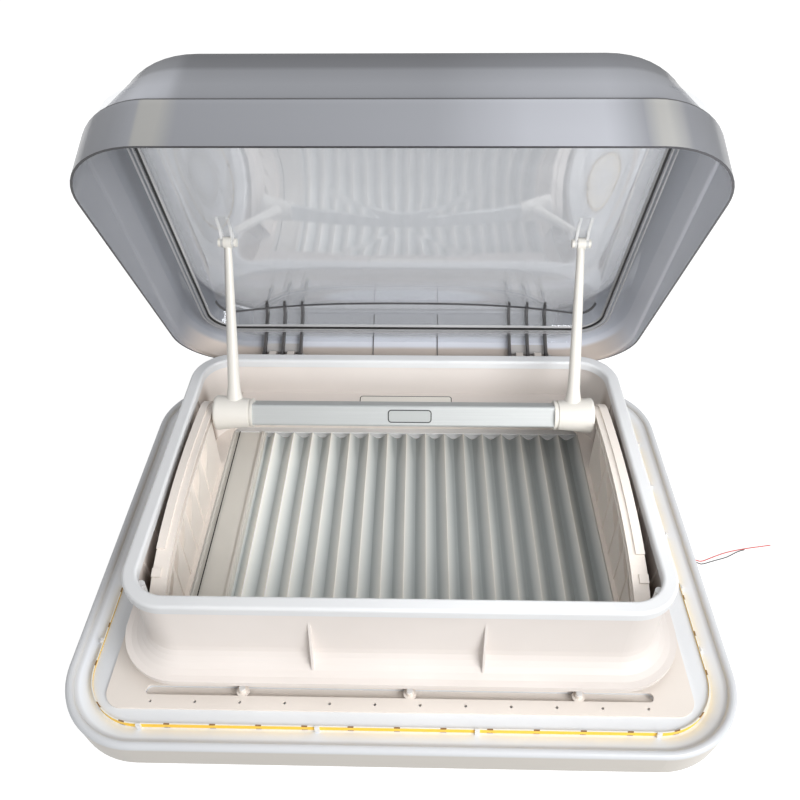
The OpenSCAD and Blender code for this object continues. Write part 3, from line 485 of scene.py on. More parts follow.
WARM_LIGHT = (1.22, 1.19, 1.09)
# painted shade: a fine dark line at the step and a dark band below the crown
OUTSIDE_HEIGHT_SHADE = grey(
    (0.14, 0.33), (0.46, 0.36), (0.492, 0.39), (0.499, 0.08), (0.520, 0.08), (0.535, 0.32),
    (0.66, 0.33), (0.79, 0.28), (0.83, 0.18), (0.99, 0.13),
)
# painted glints in the skirt's corners, painted light on the right and painted shade in the right
# corner
SKIRT_SIDE_LIGHT_SHADE = (
    grey((0.04, 1.05), (0.09, 0.90), (0.124, 0.96)) + glint(0.13, 0.16)
    + grey((0.19, 0.90), (0.55, 0.98), (0.68, 1.36), (0.79, 1.42), (0.84, 0.85)) + glint(0.865, 0.88)
    + grey((0.905, 0.62), (0.985, 0.35))
)
# painted highlights in the shoulder's corners and painted light on the right
SHOULDER_SIDE_HIGHLIGHTS = grey(
    (0.11, 2.1), (0.135, 1.75), (0.16, 1.5), (0.185, 1.05), (0.21, 1.0), (0.55, 0.98),
    (0.68, 1.25), (0.80, 1.38), (0.90, 1.0), (0.97, 0.9),
)
EVEN = grey((0.0, 1.0), (1.0, 1.0))
# painted shade inside: darker towards the crown and on the left, lighter towards the rear
INSIDE_HEIGHT_SHADE = grey((0.14, 0.62), (0.55, 0.64), (0.80, 0.56), (0.99, 0.4))
INSIDE_SIDE_SHADE = grey((0.0, 0.47), (0.10, 0.49), (0.25, 1.0), (1.0, 1.0))
INSIDE_END_LIGHT = grey((0.2, 0.85), (0.5, 0.95), (0.76, 1.15))
SATIN = dome_wall(
    "dome_outside", OUTSIDE_HEIGHT_SHADE, SKIRT_SIDE_LIGHT_SHADE, SHOULDER_SIDE_HIGHLIGHTS, EVEN, (0.36, 0.35, 0.35), 0.35
)
SATIN_IN = dome_wall(
    "dome_inside", INSIDE_HEIGHT_SHADE, INSIDE_SIDE_SHADE, INSIDE_SIDE_SHADE, INSIDE_END_LIGHT, (0.55, 0.48, 0.43), 1.0
)
DARK_EDGE = moulded("dome_edge", (0.05, 0.05, 0.055), (0.035, 0.035, 0.04), 0.3)
GREY_LINE = moulded("pane_ridge", (0.42, 0.42, 0.43), (0.36, 0.36, 0.37), 0.3)
# a painted dark line of shade under the pane's rear arch
ARCH_SHADE_LINE = moulded("pane_arch_shade", (0.10, 0.10, 0.105), (0.07, 0.07, 0.075), 0.3)
WALL_RIB = moulded("wall_rib", (0.17, 0.165, 0.165), (0.13, 0.125, 0.125), 0.35)
print("dome finishes:", SATIN.name, SATIN_IN.name)

# %% [markdown]
# ## Light strip
# The strip is a yellow film with narrow white margins, and copper pads sit along both edges at an
# even pitch. It runs round the light frame, so the pads are counted along X on the front and rear
# runs and along Y on the sides.

# %% Yellow strip with copper pads
LONG_RUN_Y = 0.318
PAD_PITCH, PAD_HALF = 59.7 * MM, 0.065
PAD_FROM, MARGIN_FROM = (0.33, 0.36), (0.455, 0.475)
YELLOW, FILM_WHITE, COPPER = (0.97, 0.61, 0.05), (0.86, 0.84, 0.78), (0.27, 0.15, 0.06)


def off_middle(step):
    return abs_of(step.math("FRACT", step) - 0.5)


def below(sock, limit):
    return sock.math("LESS_THAN", sock, limit)


def strip_film():
    f = Finish("strip_film")
    x, y, z = f.xyz(f.place())
    low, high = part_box("led_strip")
    on_side = below(abs_of(y), LONG_RUN_Y)
    run = x * (1 - on_side) + y * on_side
    pad = below(off_middle(run / PAD_PITCH + 0.5), PAD_HALF)
    off = abs_of((z - low[2]) / (high[2] - low[2]) - 0.5)
    film = mixed(f, smooth(off, *MARGIN_FROM), rgb(*YELLOW), rgb(*FILM_WHITE))
    colour = mixed(f, pad * smooth(off, *PAD_FROM), film, rgb(*COPPER))
    f.shade(base_color=colour, roughness=0.5 - 0.15 * pad)
    return f.material


STRIP = strip_film()
print("pads every", round(PAD_PITCH / MM, 1), "mm")

# %% [markdown]
# ## Hinge leaves
# Each hinge leaf is a grey plate with dark ribs. The solid has the ribs already, so the colour
# only follows them: the same pitch, counted from the middle of the leaf.

# %% Ribbed hinge leaf
LEAF_PITCH, LEAF_RIB_HALF = 32 * MM, 2.3 * MM
LEAF_GREY, LEAF_DARK = (0.55, 0.53, 0.52), (0.09, 0.085, 0.085)


def ribbed_leaf():
    f = Finish("hinge_leaf")
    low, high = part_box("hinge_leaf_right")
    x, _, _ = f.xyz(f.place())
    step = (abs_of(x) - (low[0] + high[0]) / 2) / LEAF_PITCH + 0.5
    on_rib = below(off_middle(step), LEAF_RIB_HALF / LEAF_PITCH)
    colour = mixed(f, on_rib, rgb(*LEAF_GREY), rgb(*LEAF_DARK))
    f.shade(base_color=colour, roughness=0.38 + 0.1 * f.noise(300, 2))
    return f.material


LEAF = ribbed_leaf()
print("leaf ribs every", round(LEAF_PITCH / MM), "mm")

# %% [markdown]
# ## Trim and collar
# The trim's tray has a bluish floor and is cream towards the opening. Its rolled lip is painted
# greyer, and its outer wall is a warm grey that is painted darker towards the bottom: the warmth is
# the moulding's own, the greyness and darkness are painted shade. The collar is cream, with painted
# light and shade from left to right, paler on the left, and painted shade falls off to a dark brown
# in the deep recess inside its side walls, partly the brownish plastic there. How far a point lies
# outside a rounded box tells which of these it is on.

# %% Trim and collar mouldings
TRIM_BOX, COLLAR_BOX = (0.3375, 0.2425), (0.292, 0.192)
LIP_FROM, CREAM_TO = (0.096, 0.102), (0.065, 0.060)
WALL_FROM, WALL_BELOW = (0.106, 0.110), (-0.019, -0.024)
FLOOR_DARK, FLOOR_LIGHT = (0.85, 0.89, 0.96), (0.89, 0.93, 0.99)
# painted shade: the lip's grey and the lower outer wall's darker warm grey
LIP_SHADE_GREY, WALL_WARM_SHADE, INNER_CREAM = (0.67, 0.685, 0.71), (0.59, 0.55, 0.495), (0.80, 0.735, 0.675)
RECESS_REACH, RECESS_X, RECESS_Y = (0.0535, 0.0520), (0.29, 0.31), (0.215, 0.20)
# painted shade: the collar's side recess falls off to dark brown, partly its brownish plastic
RECESS_Z, RECESS_MOST, RECESS_SHADE_BROWN = (0.128, 0.05), 0.9, (0.20, 0.13, 0.09)
# painted light and shade across the collar: paler on the left, darker on the right
COLLAR_SIDE_LIGHT_SHADE = grey((0.15, 1.03), (0.5, 0.94), (0.85, 0.86))


def reach_past(x, y, half_x, half_y):
    over_x = larger(abs_of(x) - half_x, 0)
    over_y = larger(abs_of(y) - half_y, 0)
    return (over_x ** 2 + over_y ** 2) ** 0.5


def trim_moulding():
    f = Finish("trim_moulding")
    x, y, z = f.xyz(f.place())
    reach = reach_past(x, y, *TRIM_BOX)
    cloud = f.noise(CLOUD_SCALE, 2)
    skin = f.ramp(cloud, [(0.3, FLOOR_DARK), (0.7, FLOOR_LIGHT)])
    # painted shade on the rolled lip and on the lower outer wall
    skin = mixed(f, smooth(reach, *LIP_FROM), skin, rgb(*LIP_SHADE_GREY))
    skin = mixed(f, smooth(reach, *WALL_FROM) * smooth(z, *WALL_BELOW), skin, rgb(*WALL_WARM_SHADE))
    skin = mixed(f, smooth(reach, *CREAM_TO), skin, rgb(*INNER_CREAM))
    speck = f.noise(SPECK_SCALE, 2)
    f.shade(base_color=skin, roughness=0.27 + 0.1 * cloud, normal=grain(f, speck))
    return f.material


def collar_moulding():
    f = Finish("collar_moulding")
    x, y, z = f.xyz(f.place())
    cloud = f.noise(CLOUD_SCALE, 2)
    skin = f.ramp(cloud, [(0.3, CREAM_DARK), (0.7, CREAM_LIGHT)])
    # painted light and shade from left to right
    skin = multiplied(f, skin, f.ramp(x + 0.5, COLLAR_SIDE_LIGHT_SHADE))
    # painted shade deep in the side recesses
    inside = smooth(reach_past(x, y, *COLLAR_BOX), *RECESS_REACH)
    inside = inside * smooth(abs_of(x), *RECESS_X) * smooth(y, *RECESS_Y)
    depth = smooth(z, *RECESS_Z, RECESS_MOST)
    f.shade(
        base_color=mixed(f, inside * depth, skin, rgb(*RECESS_SHADE_BROWN)),
        roughness=0.42 + 0.1 * (cloud - 0.5),
        normal=grain(f, f.noise(SPECK_SCALE, 2)),
    )
    return f.material


TRIM = trim_moulding()
COLLAR = collar_moulding()
print("materials:", len(bpy.data.materials))

# %% [markdown]
# ## Finishes for the solids that stay
# Most solids have the right shape already and only need a finish. One table names the solids for
# each finish, and the finish takes the place of the plain material that came with the solid.

# %% One table of finishes
FINISHES = {
    TRIM: ["ceiling_trim"],
    FRAME_WHITE: ["light_frame"],
    WHITE: ["led_clips", "guide_front", "guide_rear", "rail_stops", "clamp_screws"],
    CREAM: ["blind_cassette", "rail_left", "rail_right", "hinge_base_left", "hinge_base_right"],
    COLLAR: ["collar"],
    RIM: ["rim_seal"],
    IVORY: [
        "end_block_left", "end_block_right", "arm_left", "arm_right", "guide_pin_left",
        "guide_pin_right", "pivot_pin_left", "pivot_pin_right",
    ],
    STEEL: ["hinge_pin_left", "hinge_pin_right"],
    ALUMINIUM: ["crossbar"],
    RUBBER: ["lead_grommet"],
    SEAL: ["pane_seal"],
    LEAF: ["hinge_leaf_left", "hinge_leaf_right"],
    BRACKET: ["arm_bracket_left", "arm_bracket_right"],
    GREY_RAIL: ["blind_rail", "screen_rail"],
    STRIP: ["led_strip"],
}
for material, names in FINISHES.items():
    for name in names:
        NODES[name].data.materials.clear()
        NODES[name].data.materials.append(material)
print("finished solids:", sum(len(names) for names in FINISHES.values()))

# %% [markdown]
# ## Lofted sheets
# The dome and its inner pane are sheets drawn over rounded rectangles. A circle of points is
# set to the lowest outline; then the open edge is extruded again and again, and each new
# ring of points is set to the next outline. The last small ring is merged into one point.

# %% Loft over rounded rectangles
CORNER_STEPS, SIDE_STEPS = 14, 8
SMOOTH_ANGLE = math.radians(40)


def outline(half_x, half_y, radius, middle_y, height):
    arcs = []
    for quarter, (sx, sy) in enumerate(((1, 1), (-1, 1), (-1, -1), (1, -1))):
        centre = Vector((sx * (half_x - radius), sy * (half_y - radius), 0))
        turns = [math.radians(90) * (quarter + k / CORNER_STEPS) for k in range(CORNER_STEPS + 1)]
        arcs.append([centre + radius * Vector((math.cos(a), math.sin(a), 0)) for a in turns])
    ring = []
    for arc, following in zip(arcs, arcs[1:] + arcs[:1]):
        ring += arc + [arc[-1].lerp(following[0], k / SIDE_STEPS) for k in range(1, SIDE_STEPS)]
    for p in ring:
        p.z = height(p.x, p.y) if callable(height) else height
        p.y += middle_y
    return [p * MM for p in ring]


def start_edit():
    bpy.ops.object.mode_set(mode="EDIT")
    bpy.ops.mesh.select_all(action="SELECT")


def end_edit():
    bpy.ops.mesh.select_all(action="SELECT")
    bpy.ops.mesh.normals_make_consistent(inside=False)
    bpy.ops.object.mode_set(mode="OBJECT")


def loft(name, rings):
    bpy.ops.object.select_all(action="DESELECT")
    bpy.ops.mesh.primitive_circle_add(vertices=len(rings[0]), radius=1)
    piece = bpy.context.object
    piece.name = piece.data.name = name
    for v, at in zip(piece.data.vertices, rings[0]):
        v.co = at
    start_edit()
    for ring in rings[1:]:
        bpy.ops.mesh.extrude_region_move(TRANSFORM_OT_translate={"value": (0, 0, 0)})
        mesh = bmesh.from_edit_mesh(piece.data)
        for v, at in zip((v for v in mesh.verts if v.select), ring):
            v.co = at
        bmesh.update_edit_mesh(piece.data)
    bpy.ops.mesh.merge(type="CENTER")
    end_edit()
    return piece


def thicken(piece, thickness, inner_offset=0, rim_offset=0):
    wall = piece.modifiers.new("wall", "SOLIDIFY")
    wall.thickness = thickness
    wall.offset = -1
    wall.material_offset = inner_offset
    wall.material_offset_rim = rim_offset
    bpy.ops.object.modifier_apply(modifier=wall.name)
    bpy.ops.object.shade_smooth_by_angle(angle=SMOOTH_ANGLE)


print("one ring has", 4 * (CORNER_STEPS + SIDE_STEPS), "points")

# %% [markdown]
# ## Dome
# The dome is lofted in its closed place: skirt, small step, leaning shoulder, round edge and a
# top that bulges a little. A plane that leans seven degrees cuts the skirt's lower edge. Then
# the sheet gets its thickness, with an inner and a rim material, and swings open about the hinge.

# %% Smoked dome with a satin wall
DOME_Y, DOME_MID, DOME_T = 296, 8, 3
SKIRT_R, SKIRT_LOW, SKIRT_MID = 106, 14, 60
STEP_Z, STEP_R = 108, 4
STEP_TURNS = (0.4, 0.9, 1.4)
SHOULDER_LEAN, SHOULDER_ROUNDER = 16, 30
EDGE_R, EDGE_INSET, EDGE_CORNER, EDGE_STEPS = 14, 17.8, 145.6, 6
SHOULDER_RINGS = (STEP_Z + 0.5, STEP_Z + 3, 140, 170, CROWN_Z - EDGE_R)
TOP_CORNER, TOP_LEAST = 145, 4
TOP_RINGS = ((60, 0.8), (130, 1.8), (210, 2.6), (285, 3))
CUT_AT, CUT_LEAN = (0, -0.288, 0.034), math.radians(7)
OPENED = (
    Matrix.Translation(HINGE) @ Matrix.Rotation(-OPEN_ANGLE, 4, "X") @ Matrix.Translation(-HINGE)
)


def dome_ring(inset, radius, height):
    return outline(DOME_X - inset, DOME_Y - inset, radius, DOME_MID, height)


def shoulder_part(z):
    return (z - STEP_Z) / (CROWN_Z - STEP_Z)


def shoulder(z):
    part = shoulder_part(z)
    return dome_ring(STEP_R + SHOULDER_LEAN * part, SKIRT_R - STEP_R + SHOULDER_ROUNDER * part, z)


rings = [dome_ring(0, SKIRT_R, z) for z in (SKIRT_LOW, SKIRT_MID, STEP_Z - STEP_R - 1)]
for a in STEP_TURNS:
    inset = STEP_R * (1 - math.cos(a))
    rings.append(dome_ring(inset, SKIRT_R - inset, STEP_Z + STEP_R * (math.sin(a) - 1)))
rings += [shoulder(z) for z in SHOULDER_RINGS]
for k in range(1, EDGE_STEPS + 1):
    a = math.radians(90) * k / EDGE_STEPS
    inset = EDGE_INSET + EDGE_R * (1 - math.cos(a))
    rings.append(dome_ring(inset, EDGE_CORNER - inset, CROWN_Z + EDGE_R * (math.sin(a) - 1)))
for inset, rise in TOP_RINGS:
    rings.append(dome_ring(inset, max(TOP_CORNER - inset, TOP_LEAST), CROWN_Z + rise))
dome = loft("dome_acrylic", rings)

start_edit()
cut_normal = (0, -math.sin(CUT_LEAN), math.cos(CUT_LEAN))
bpy.ops.mesh.bisect(plane_co=CUT_AT, plane_no=cut_normal, clear_inner=True, use_fill=False)
bpy.ops.object.mode_set(mode="OBJECT")
for material in (SATIN, SATIN_IN, DARK_EDGE):
    dome.data.materials.append(material)
thicken(dome, DOME_T * MM, inner_offset=1, rim_offset=2)
dome.data.transform(OPENED)
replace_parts(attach(dome, "dome"), "dome_shell")
print("dome faces:", len(dome.data.polygons))

# %% [markdown]
# ## Inner pane
# The clear pane is a shallow pan: a flat flange with two fine ridges outside the seal and steep
# walls, low at the corners and high along each side. Its ceiling sags a little in the middle, and
# the rear wall bows inwards. These functions give the height of the walls and of the ceiling.

# %% Heights and outlines of the pane
PANE_X, PANE_Y, PANE_Z, PANE_R = 333.5, 240.5, 143.1, 41
CORNER_RISE, SIDE_RISE, END_RISE = 14, 24, 30
CEILING_RISE, CEILING_SAG = 36, 16
SAG_X, SAG_Y = 270, 215


def pan_edge(x, y):
    side = min(abs(x) / PANE_X, 1)
    end = min(abs(y) / PANE_Y, 1)
    arch = SIDE_RISE * (1 - end ** 3) * side ** 6 + END_RISE * (1 - side ** 3) * end ** 6
    return PANE_Z + CORNER_RISE + arch


def pan_wall(share):
    return lambda x, y: PANE_Z + share * (pan_edge(x, y) - PANE_Z)


def pan_top(scale):
    def height(x, y):
        sag = CEILING_SAG * (1 - (x / SAG_X) ** 2) * (1 - (y / SAG_Y) ** 2)
        level = PANE_Z + CEILING_RISE - sag
        return level + (pan_edge(x / scale, y / scale) - level) * scale ** 8

    return height


def pan_ring(inset, radius, height, bow=0, scale=1):
    ring = outline(scale * (PANE_X - inset), scale * (PANE_Y - inset), scale * radius, 0, height)
    for p in ring:
        side = min(abs(p.x) / (scale * PANE_X * MM), 1)
        end = max(p.y / (scale * PANE_Y * MM), 0)
        p.y -= bow * MM * (1 - side ** 3) * end ** 6
    return ring


print("pane walls rise", CORNER_RISE, "to", CORNER_RISE + END_RISE, "mm")

# %% [markdown]
# ## The pane as a soft sheet
# The pane is lofted like the dome. Faces of one ring follow each other in the mesh, so the ring's
# number tells which faces are ridges, the painted dark line of shade under the rear arch, walls or
# ceiling. A subdivision surface softens the sheet before it gets its thickness.

# %% Clear pane with arched walls
FLANGE = [(44, 0), (14, 0), (13, 0.9), (12, 0), (8, 0), (7, 0.9), (6, 0), (1.5, 0)]
FLANGE_END, FLANGE_BACK = 40, 0.18
PANE_T, WALL_START = 2, 1.2
WALL_RINGS = [(3, 40, 0.4, 5), (6, 39, 0.8, 9), (7.5, 38, 0.93, 11), (9.5, 37, 1.0, 12)]
CEILING_SCALES = (0.97, 0.93, 0.87, 0.78, 0.64, 0.48, 0.30, 0.12)
PANE_FINISHES = [CLEAR, GREY_LINE, ARCH_SHADE_LINE, CLEAR_WALL]
RIDGE_RINGS, ARCH_RING, REAR_FROM = (2, 5, 7), 11, 0.2


def pane_finish(ring, y):
    # the rear of the arch ring carries the painted shade line
    if ring == ARCH_RING and y > REAR_FROM:
        return ARCH_SHADE_LINE
    if ring in RIDGE_RINGS:
        return GREY_LINE
    return CLEAR_WALL if ring <= ARCH_RING else CLEAR


rings = []
for out, drop in FLANGE:
    half_y = PANE_Y + min(out, FLANGE_END)
    rings.append(outline(PANE_X + out, half_y, PANE_R + out, FLANGE_BACK * out, PANE_Z - drop))
rings.append(pan_ring(0, PANE_R, PANE_Z + WALL_START))
for inset, radius, share, bow in WALL_RINGS:
    rings.append(pan_ring(inset, radius, pan_wall(share), bow))
top_inset, top_radius, _, top_bow = WALL_RINGS[-1]
for scale in CEILING_SCALES:
    rings.append(pan_ring(top_inset, top_radius, pan_top(scale), top_bow * scale ** 3, scale))
pane = loft("pane_acrylic", rings)
for material in PANE_FINISHES:
    pane.data.materials.append(material)
for face in pane.data.polygons:
    finish = pane_finish(face.index // len(rings[0]), face.center.y)
    face.material_index = PANE_FINISHES.index(finish)
soften = pane.modifiers.new("soften", "SUBSURF")
soften.levels = soften.render_levels = 2
bpy.ops.object.modifier_apply(modifier=soften.name)
thicken(pane, PANE_T * MM)
pane.data.transform(OPENED)
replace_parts(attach(pane, "dome"), "inner_pane")
print("pane faces:", len(pane.data.polygons))

# %% [markdown]
# ## Ribs in the rear wall
# Between the hinges two thin ribs stiffen the dome's rear wall. A plane is set against the
# inside of the closed wall as a fin that gets slimmer towards the crown, then it is given a
# thickness and round edges. The second rib is a copy, and both swing open with the dome.

# %% Two thin ribs
RIB_X, RIB_T, RIB_ROUND = 57.5, 1.4, 0.4
RIB_FOOT, RIB_TOP = (113, 2.5), (195, 2.0)


def new_plane(name):
    bpy.ops.object.select_all(action="DESELECT")
    bpy.ops.mesh.primitive_plane_add(size=1)
    piece = bpy.context.object
    piece.name = piece.data.name = name
    return piece


def wall_inside(z):
    lean = STEP_R + SHOULDER_LEAN * shoulder_part(z)
    return DOME_MID + DOME_Y - lean - DOME_T


rib = new_plane("wall_rib_right")
corners = [(z, out) for z, depth in (RIB_FOOT, RIB_TOP) for out in (0, depth)]
for v, (z, out) in zip(rib.data.vertices, corners):
    v.co = Vector((RIB_X, wall_inside(z) - out, z)) * MM
rib.data.materials.append(WALL_RIB)
thicken(rib, RIB_T * MM)
edges = rib.modifiers.new("edges", "BEVEL")
edges.width = RIB_ROUND * MM
edges.segments = 2
bpy.ops.object.modifier_apply(modifier=edges.name)
rib.data.transform(OPENED)
twin = rib.copy()
twin.data = rib.data.copy()
twin.name = twin.data.name = "wall_rib_left"
twin.data.transform(Matrix.Translation((-2 * RIB_X * MM, 0, 0)))
bpy.context.scene.collection.objects.link(twin)
for piece in (rib, twin):
    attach(piece, "dome")
print("rib faces:", len(rib.data.polygons))

# %% [markdown]
# ## Bare plates
# Two thin plates are stuck on the vent: one on the crossbar and one on the rear ledge. They are
# bare. A plane gets round corners and is extruded to its thickness; then two insets leave a
# narrow border for a dark line.

# %% Plates with a dark border
PLATE_T, PLATE_CORNER, PLATE_MARGIN, PLATE_LINE = 0.4 * MM, 6 * MM, 0.5 * MM, 1.6 * MM
BAR_AT, ON_BAR = Vector((0, 0.12216, 0.12103)), Vector((0.011, 0, 0.0170))
ON_LEDGE = Vector((0.0025, 0.221, 0.062))
BAR_PLATE, LEDGE_PLATE = (0.070, 0.022), (0.162, 0.026)
ARM_SLOPE = math.radians(61)
BAR_FILM = moulded("bar_label_film", (0.45, 0.47, 0.465), (0.42, 0.44, 0.435), 0.4)
LEDGE_FILM = moulded("ledge_label_film", (0.84, 0.82, 0.77), (0.80, 0.78, 0.73), 0.4)
BORDER = moulded("label_line", (0.035, 0.035, 0.035), (0.02, 0.02, 0.02), 0.5)


def inset_faces(plate, width, slot_index):
    bpy.ops.mesh.inset(thickness=width)
    plate.active_material_index = slot_index
    bpy.ops.object.material_slot_assign()


def bare_plate(name, size, film, matrix, body):
    plate = new_plane(name)
    plate.data.transform(Matrix.Diagonal((*size, 1, 1)))
    for material in (film, BORDER):
        plate.data.materials.append(material)
    start_edit()
    bpy.ops.mesh.bevel(affect="VERTICES", offset=PLATE_CORNER, segments=6)
    bpy.ops.mesh.extrude_region_move(TRANSFORM_OT_translate={"value": (0, 0, PLATE_T)})
    inset_faces(plate, PLATE_MARGIN, 1)
    inset_faces(plate, PLATE_LINE, 0)
    end_edit()
    plate.data.transform(matrix)
    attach(plate, body)
    print(name, [round(s / MM) for s in size], "mm")


on_bar = Matrix.Translation(BAR_AT) @ Matrix.Rotation(ARM_SLOPE, 4, "X") @ Matrix.Translation(ON_BAR)
bare_plate("bar_label", BAR_PLATE, BAR_FILM, on_bar, "bow")
bare_plate("ledge_label", LEDGE_PLATE, LEDGE_FILM, Matrix.Translation(ON_LEDGE), "frame")

# %% [markdown]
# ## Folded cloth
# The blind and the fly screen are long cloths folded to and fro. A grid is laid over the length,
# and each row of points is set to the fold's height. Straight flanks give crisp folds, and a share
# of a sine makes the valleys softer. The way along the folds is the length that the cloth was cut
# to.

# %% Cloth folded over a grid
CLOTH_Z = -42 * MM
CLOTH_WIDTH = 480 * MM
CLOTH_STRIPS = 12
FOLD_ANGLE = math.radians(35)


def folded_cloth(name, x0, x1, count, height, per_fold, thickness, soft):
    rows = count * per_fold
    bpy.ops.object.select_all(action="DESELECT")
    bpy.ops.mesh.primitive_grid_add(x_subdivisions=rows, y_subdivisions=CLOTH_STRIPS, size=1)
    piece = bpy.context.object
    piece.name = piece.data.name = name
    heights = []
    for i in range(rows + 1):
        u = (i / per_fold) % 1
        crest = 1 - abs(math.sin(math.pi * (u + 0.5)))
        plain = 1 - 2 * abs(u - 0.5)
        heights.append(CLOTH_Z + height * (soft * crest + (1 - soft) * plain - 0.5))
    heights[0] = heights[-1] = CLOTH_Z
    step = (x1 - x0) / rows
    for v in piece.data.vertices:
        i = round((v.co.x + 0.5) * rows)
        v.co = (x0 + step * i, v.co.y * CLOTH_WIDTH, heights[i])
    along = sum(math.hypot(step, b - a) for a, b in zip(heights, heights[1:]))
    wall = piece.modifiers.new("cloth_thickness", "SOLIDIFY")
    wall.thickness = thickness
    wall.offset = 0
    bpy.ops.object.modifier_apply(modifier=wall.name)
    bpy.ops.object.shade_smooth_by_angle(angle=FOLD_ANGLE)
    print(name, "flat:", round(CLOTH_WIDTH, 3), "x", round(along, 3), "m")
    return piece, along


print("cloths are", round(CLOTH_WIDTH / MM), "mm wide")

# %% [markdown]
# ## Woven finish
# Light reaches the crests of the folds and less of the valleys, so painted shade makes the cloth's
# tone follow the height in the fold, with a painted highlight along each crest, and painted light
# and shade make it lighter on the left and darker towards the right and the rear. A fine noise,
# drawn out upwards, is the weave, and a large one lets the tone drift.

# %% Finish for the cloths
SHADE_X, SHADE_Y = (-0.2, 0.3), (0.17, 0.24)
# painted light and shade across the cloth: lighter on the left, darker on the right
CLOTH_SIDE_LIGHT_SHADE = ((0.28, 1.28), (0.40, 1.07), (0.60, 0.92), (0.73, 0.90))


def cloth_finish(name, tones, roughness, weave, fold):
    f = Finish(name)
    x, y, z = f.xyz(f.place())
    threads = f.stretched_noise((weave, weave, 200), 2)
    cloud = f.noise(9, 2)
    height = (z - (CLOTH_Z - fold / 2)) / fold
    shade = 0.32 * smooth(x, *SHADE_X) + 0.5 * smooth(y, *SHADE_Y)
    height = height - shade * (1 - height)
    across = f.ramp(x + 0.5, [(at, (1.01 * tone, tone, 0.97 * tone)) for at, tone in CLOTH_SIDE_LIGHT_SHADE])
    colour = f.ramp(height + 0.10 * (threads - 0.5) + 0.10 * (cloud - 0.5), tones)
    f.shade(
        base_color=multiplied(f, colour, across),
        roughness=roughness + 0.2 * (threads - 0.5),
        normal=f.bump(threads, 0.25, 0.2 * MM),
    )
    return f.material


BLIND_FOLD, SCREEN_FOLD = 15 * MM, 9.2 * MM
# painted shade in the valleys and a painted highlight along each crest
BLIND_TONES = [
    (0.0, (0.36, 0.39, 0.40)), (0.25, (0.50, 0.53, 0.54)), (0.6, (0.66, 0.68, 0.68)),
    (0.88, (0.76, 0.77, 0.76)), (0.93, (0.80, 0.80, 0.78)), (0.965, (0.93, 0.93, 0.90)),
]
SCREEN_TONES = [(0, (0.05, 0.05, 0.05)), (1, (0.11, 0.11, 0.11))]
BLIND_CLOTH = cloth_finish("blind_cloth", BLIND_TONES, 0.42, 2600, BLIND_FOLD)
SCREEN_MESH = cloth_finish("screen_mesh", SCREEN_TONES, 0.7, 3000, SCREEN_FOLD)
print("cloth finishes:", BLIND_CLOTH.name, SCREEN_MESH.name)

# %% [markdown]
# ## Pleated blind
# The blind is drawn out over the opening. Its right end is fixed in the cassette and its left end on
# the pull rail, so on the vent it squashes towards the right as the rail moves; this cloth is fixed
# to the frame and keeps its shape.

# %% Blind with seventeen pleats
BLIND_X0, BLIND_X1 = -257.4 * MM, 334 * MM
BLIND_PLEATS, BLIND_TRAVEL = 17, 530 * MM
blind, blind_length = folded_cloth(
    "pleated_blind_cloth", BLIND_X0, BLIND_X1, BLIND_PLEATS, BLIND_FOLD,
    per_fold=12, thickness=0.5 * MM, soft=0.45,
)
blind.data.materials.append(BLIND_CLOTH)
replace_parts(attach(blind, "frame"), "pleated_blind")
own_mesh(blind)

# %% [markdown]
# ## Painted shadow beside the pull rail
# A thin black strip along the pull rail's left edge is a painted shadow of the narrow gap there. It
# is a plane at its true width, extruded upwards a little and bevelled, and it rides with the rail.

# %% Painted shadow strip along the pull rail
# painted shadow: a thin black strip where the gap beside the pull rail is in shade
GAP_SHADE_OFF, GAP_SHADE_WIDTH, GAP_SHADE_HEIGHT, GAP_SHADE_ROUND = 1.0 * MM, 1.8 * MM, 0.5 * MM, 0.2 * MM
rail_low, rail_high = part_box("blind_rail")
gap_shade = new_plane("pull_rail_gap_shade")
gap_shade_at = Matrix.Translation((rail_low[0] + GAP_SHADE_OFF, 0, rail_high[2]))
gap_shade.data.transform(gap_shade_at @ Matrix.Diagonal((GAP_SHADE_WIDTH, CLOTH_WIDTH, 1, 1)))
start_edit()
bpy.ops.mesh.extrude_region_move(TRANSFORM_OT_translate={"value": (0, 0, GAP_SHADE_HEIGHT)})
bpy.ops.mesh.bevel(offset=GAP_SHADE_ROUND, segments=2)
end_edit()
gap_shade.data.materials.append(SEAL)
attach(gap_shade, "blind")
print("lip faces:", len(gap_shade.data.polygons))

# %% [markdown]
# ## Fly screen
# The fly screen is parked at the left as a slim pack of many folds. On the vent its left end stays
# with the frame and its right end goes with its own pull rail, so the folds between them are drawn
# out when the rail moves; this pack is fixed in place and does not follow the rail.

# %% Parked fly screen
SCREEN_X0, SCREEN_X1 = -334 * MM, -322.3 * MM
SCREEN_PLEATS = 30
screen, screen_length = folded_cloth(
    "flyscreen_mesh", SCREEN_X0, SCREEN_X1, SCREEN_PLEATS, SCREEN_FOLD,
    per_fold=2, thickness=0.1 * MM, soft=0,
)
screen.data.materials.append(SCREEN_MESH)
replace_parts(screen, "flyscreen")
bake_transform(screen)

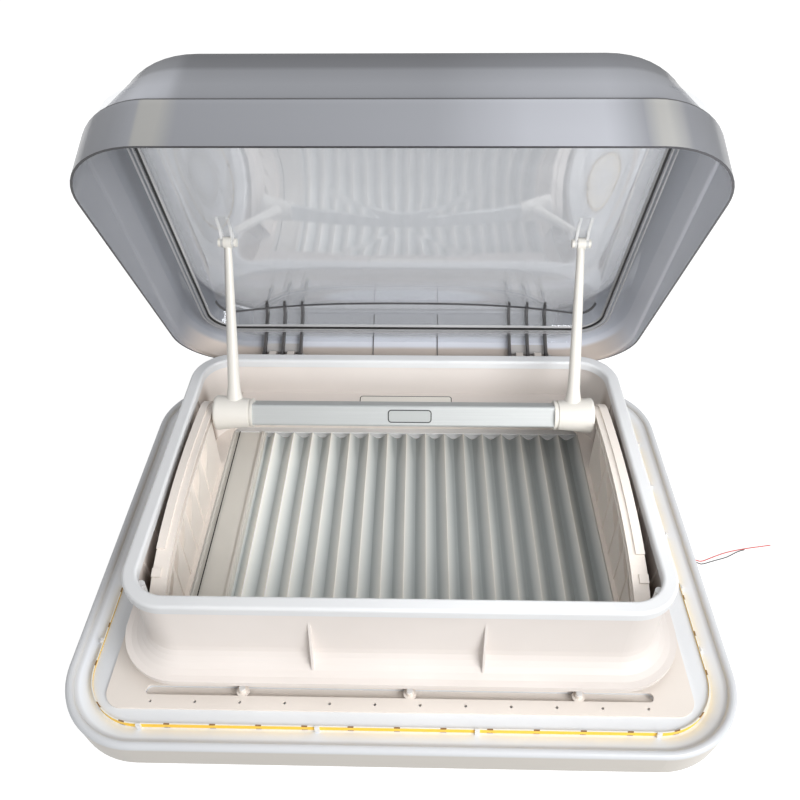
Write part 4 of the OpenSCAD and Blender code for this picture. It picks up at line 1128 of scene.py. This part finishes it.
# %% [markdown]
# ## Studio
# The photograph is bright and nearly without shadow: a white table in white surroundings. The
# table glows by itself, so that it stays white beside the part, and its glow is kept off matt
# surfaces. The sky is grey below and white above, which shades the mouldings softly. One large
# lamp at the front right is the key light, and a small card in front of the open dome, unseen by
# the camera and in reflections, brightens its inside.

# %% Table and sky
TABLE_SIZE, TABLE_GAP, TABLE_GLOW = 30, 0.4 * MM, 0.9
SKY_STOPS = [(0.35, (0.3, 0.3, 0.3)), (0.65, (1.0, 1.0, 1.0))]
SKY_STRENGTH = 0.53
bpy.ops.object.select_all(action="DESELECT")
bpy.ops.mesh.primitive_plane_add(size=TABLE_SIZE, location=(0, 0, CAD_BOX[0][2] - TABLE_GAP))
floor = bpy.context.object
floor.name = "table"
paper = Finish("table_paper")
paper.shade(
    base_color=rgb(0.3, 0.3, 0.3), roughness=0.9,
    emission_color=rgb(1, 1, 1), emission_strength=TABLE_GLOW,
)
floor.data.materials.append(paper.material)
floor.visible_diffuse = False

world = bpy.data.worlds.new("studio")
world.use_nodes = True
background = world.node_tree.nodes["Background"]
sky = Nodes(world.node_tree)
_, _, up = sky.xyz(sky.node("ShaderNodeTexCoord", out="Generated"))
sky.put(background.inputs["Color"], sky.ramp(0.5 * up + 0.5, SKY_STOPS))
sky.put(background.inputs["Strength"], SKY_STRENGTH)
bpy.context.scene.world = world
print("table at", round(floor.location.z, 4), "m")

# %% [markdown]
# ## Lamps
# An area lamp shines along its own -Z, so it is turned to track the point that it looks at. The
# view transform is Standard, which keeps the white table white.


# %% Key lamp and card
def lamp(name, at, look, size, power):
    bpy.ops.object.light_add(type="AREA", location=at)
    light = bpy.context.object
    light.name = name
    light.data.shape = "RECTANGLE"
    light.data.size, light.data.size_y = size
    light.data.energy = power
    aim = Vector(look) - Vector(at)
    light.rotation_euler = aim.to_track_quat("-Z", "Y").to_euler()
    return light


lamp("key_lamp", at=(1.63, -1.95, 1.39), look=(0, 0, 0.1), size=(1.7, 1.7), power=70)
card = lamp(
    "bounce_card", at=(0.28, -0.26, 0.5), look=(-0.2, 0.6, 0.28), size=(0.5, 0.35), power=1.75
)
card.visible_camera = card.visible_glossy = False
scene = bpy.context.scene
scene.view_settings.view_transform = "Standard"
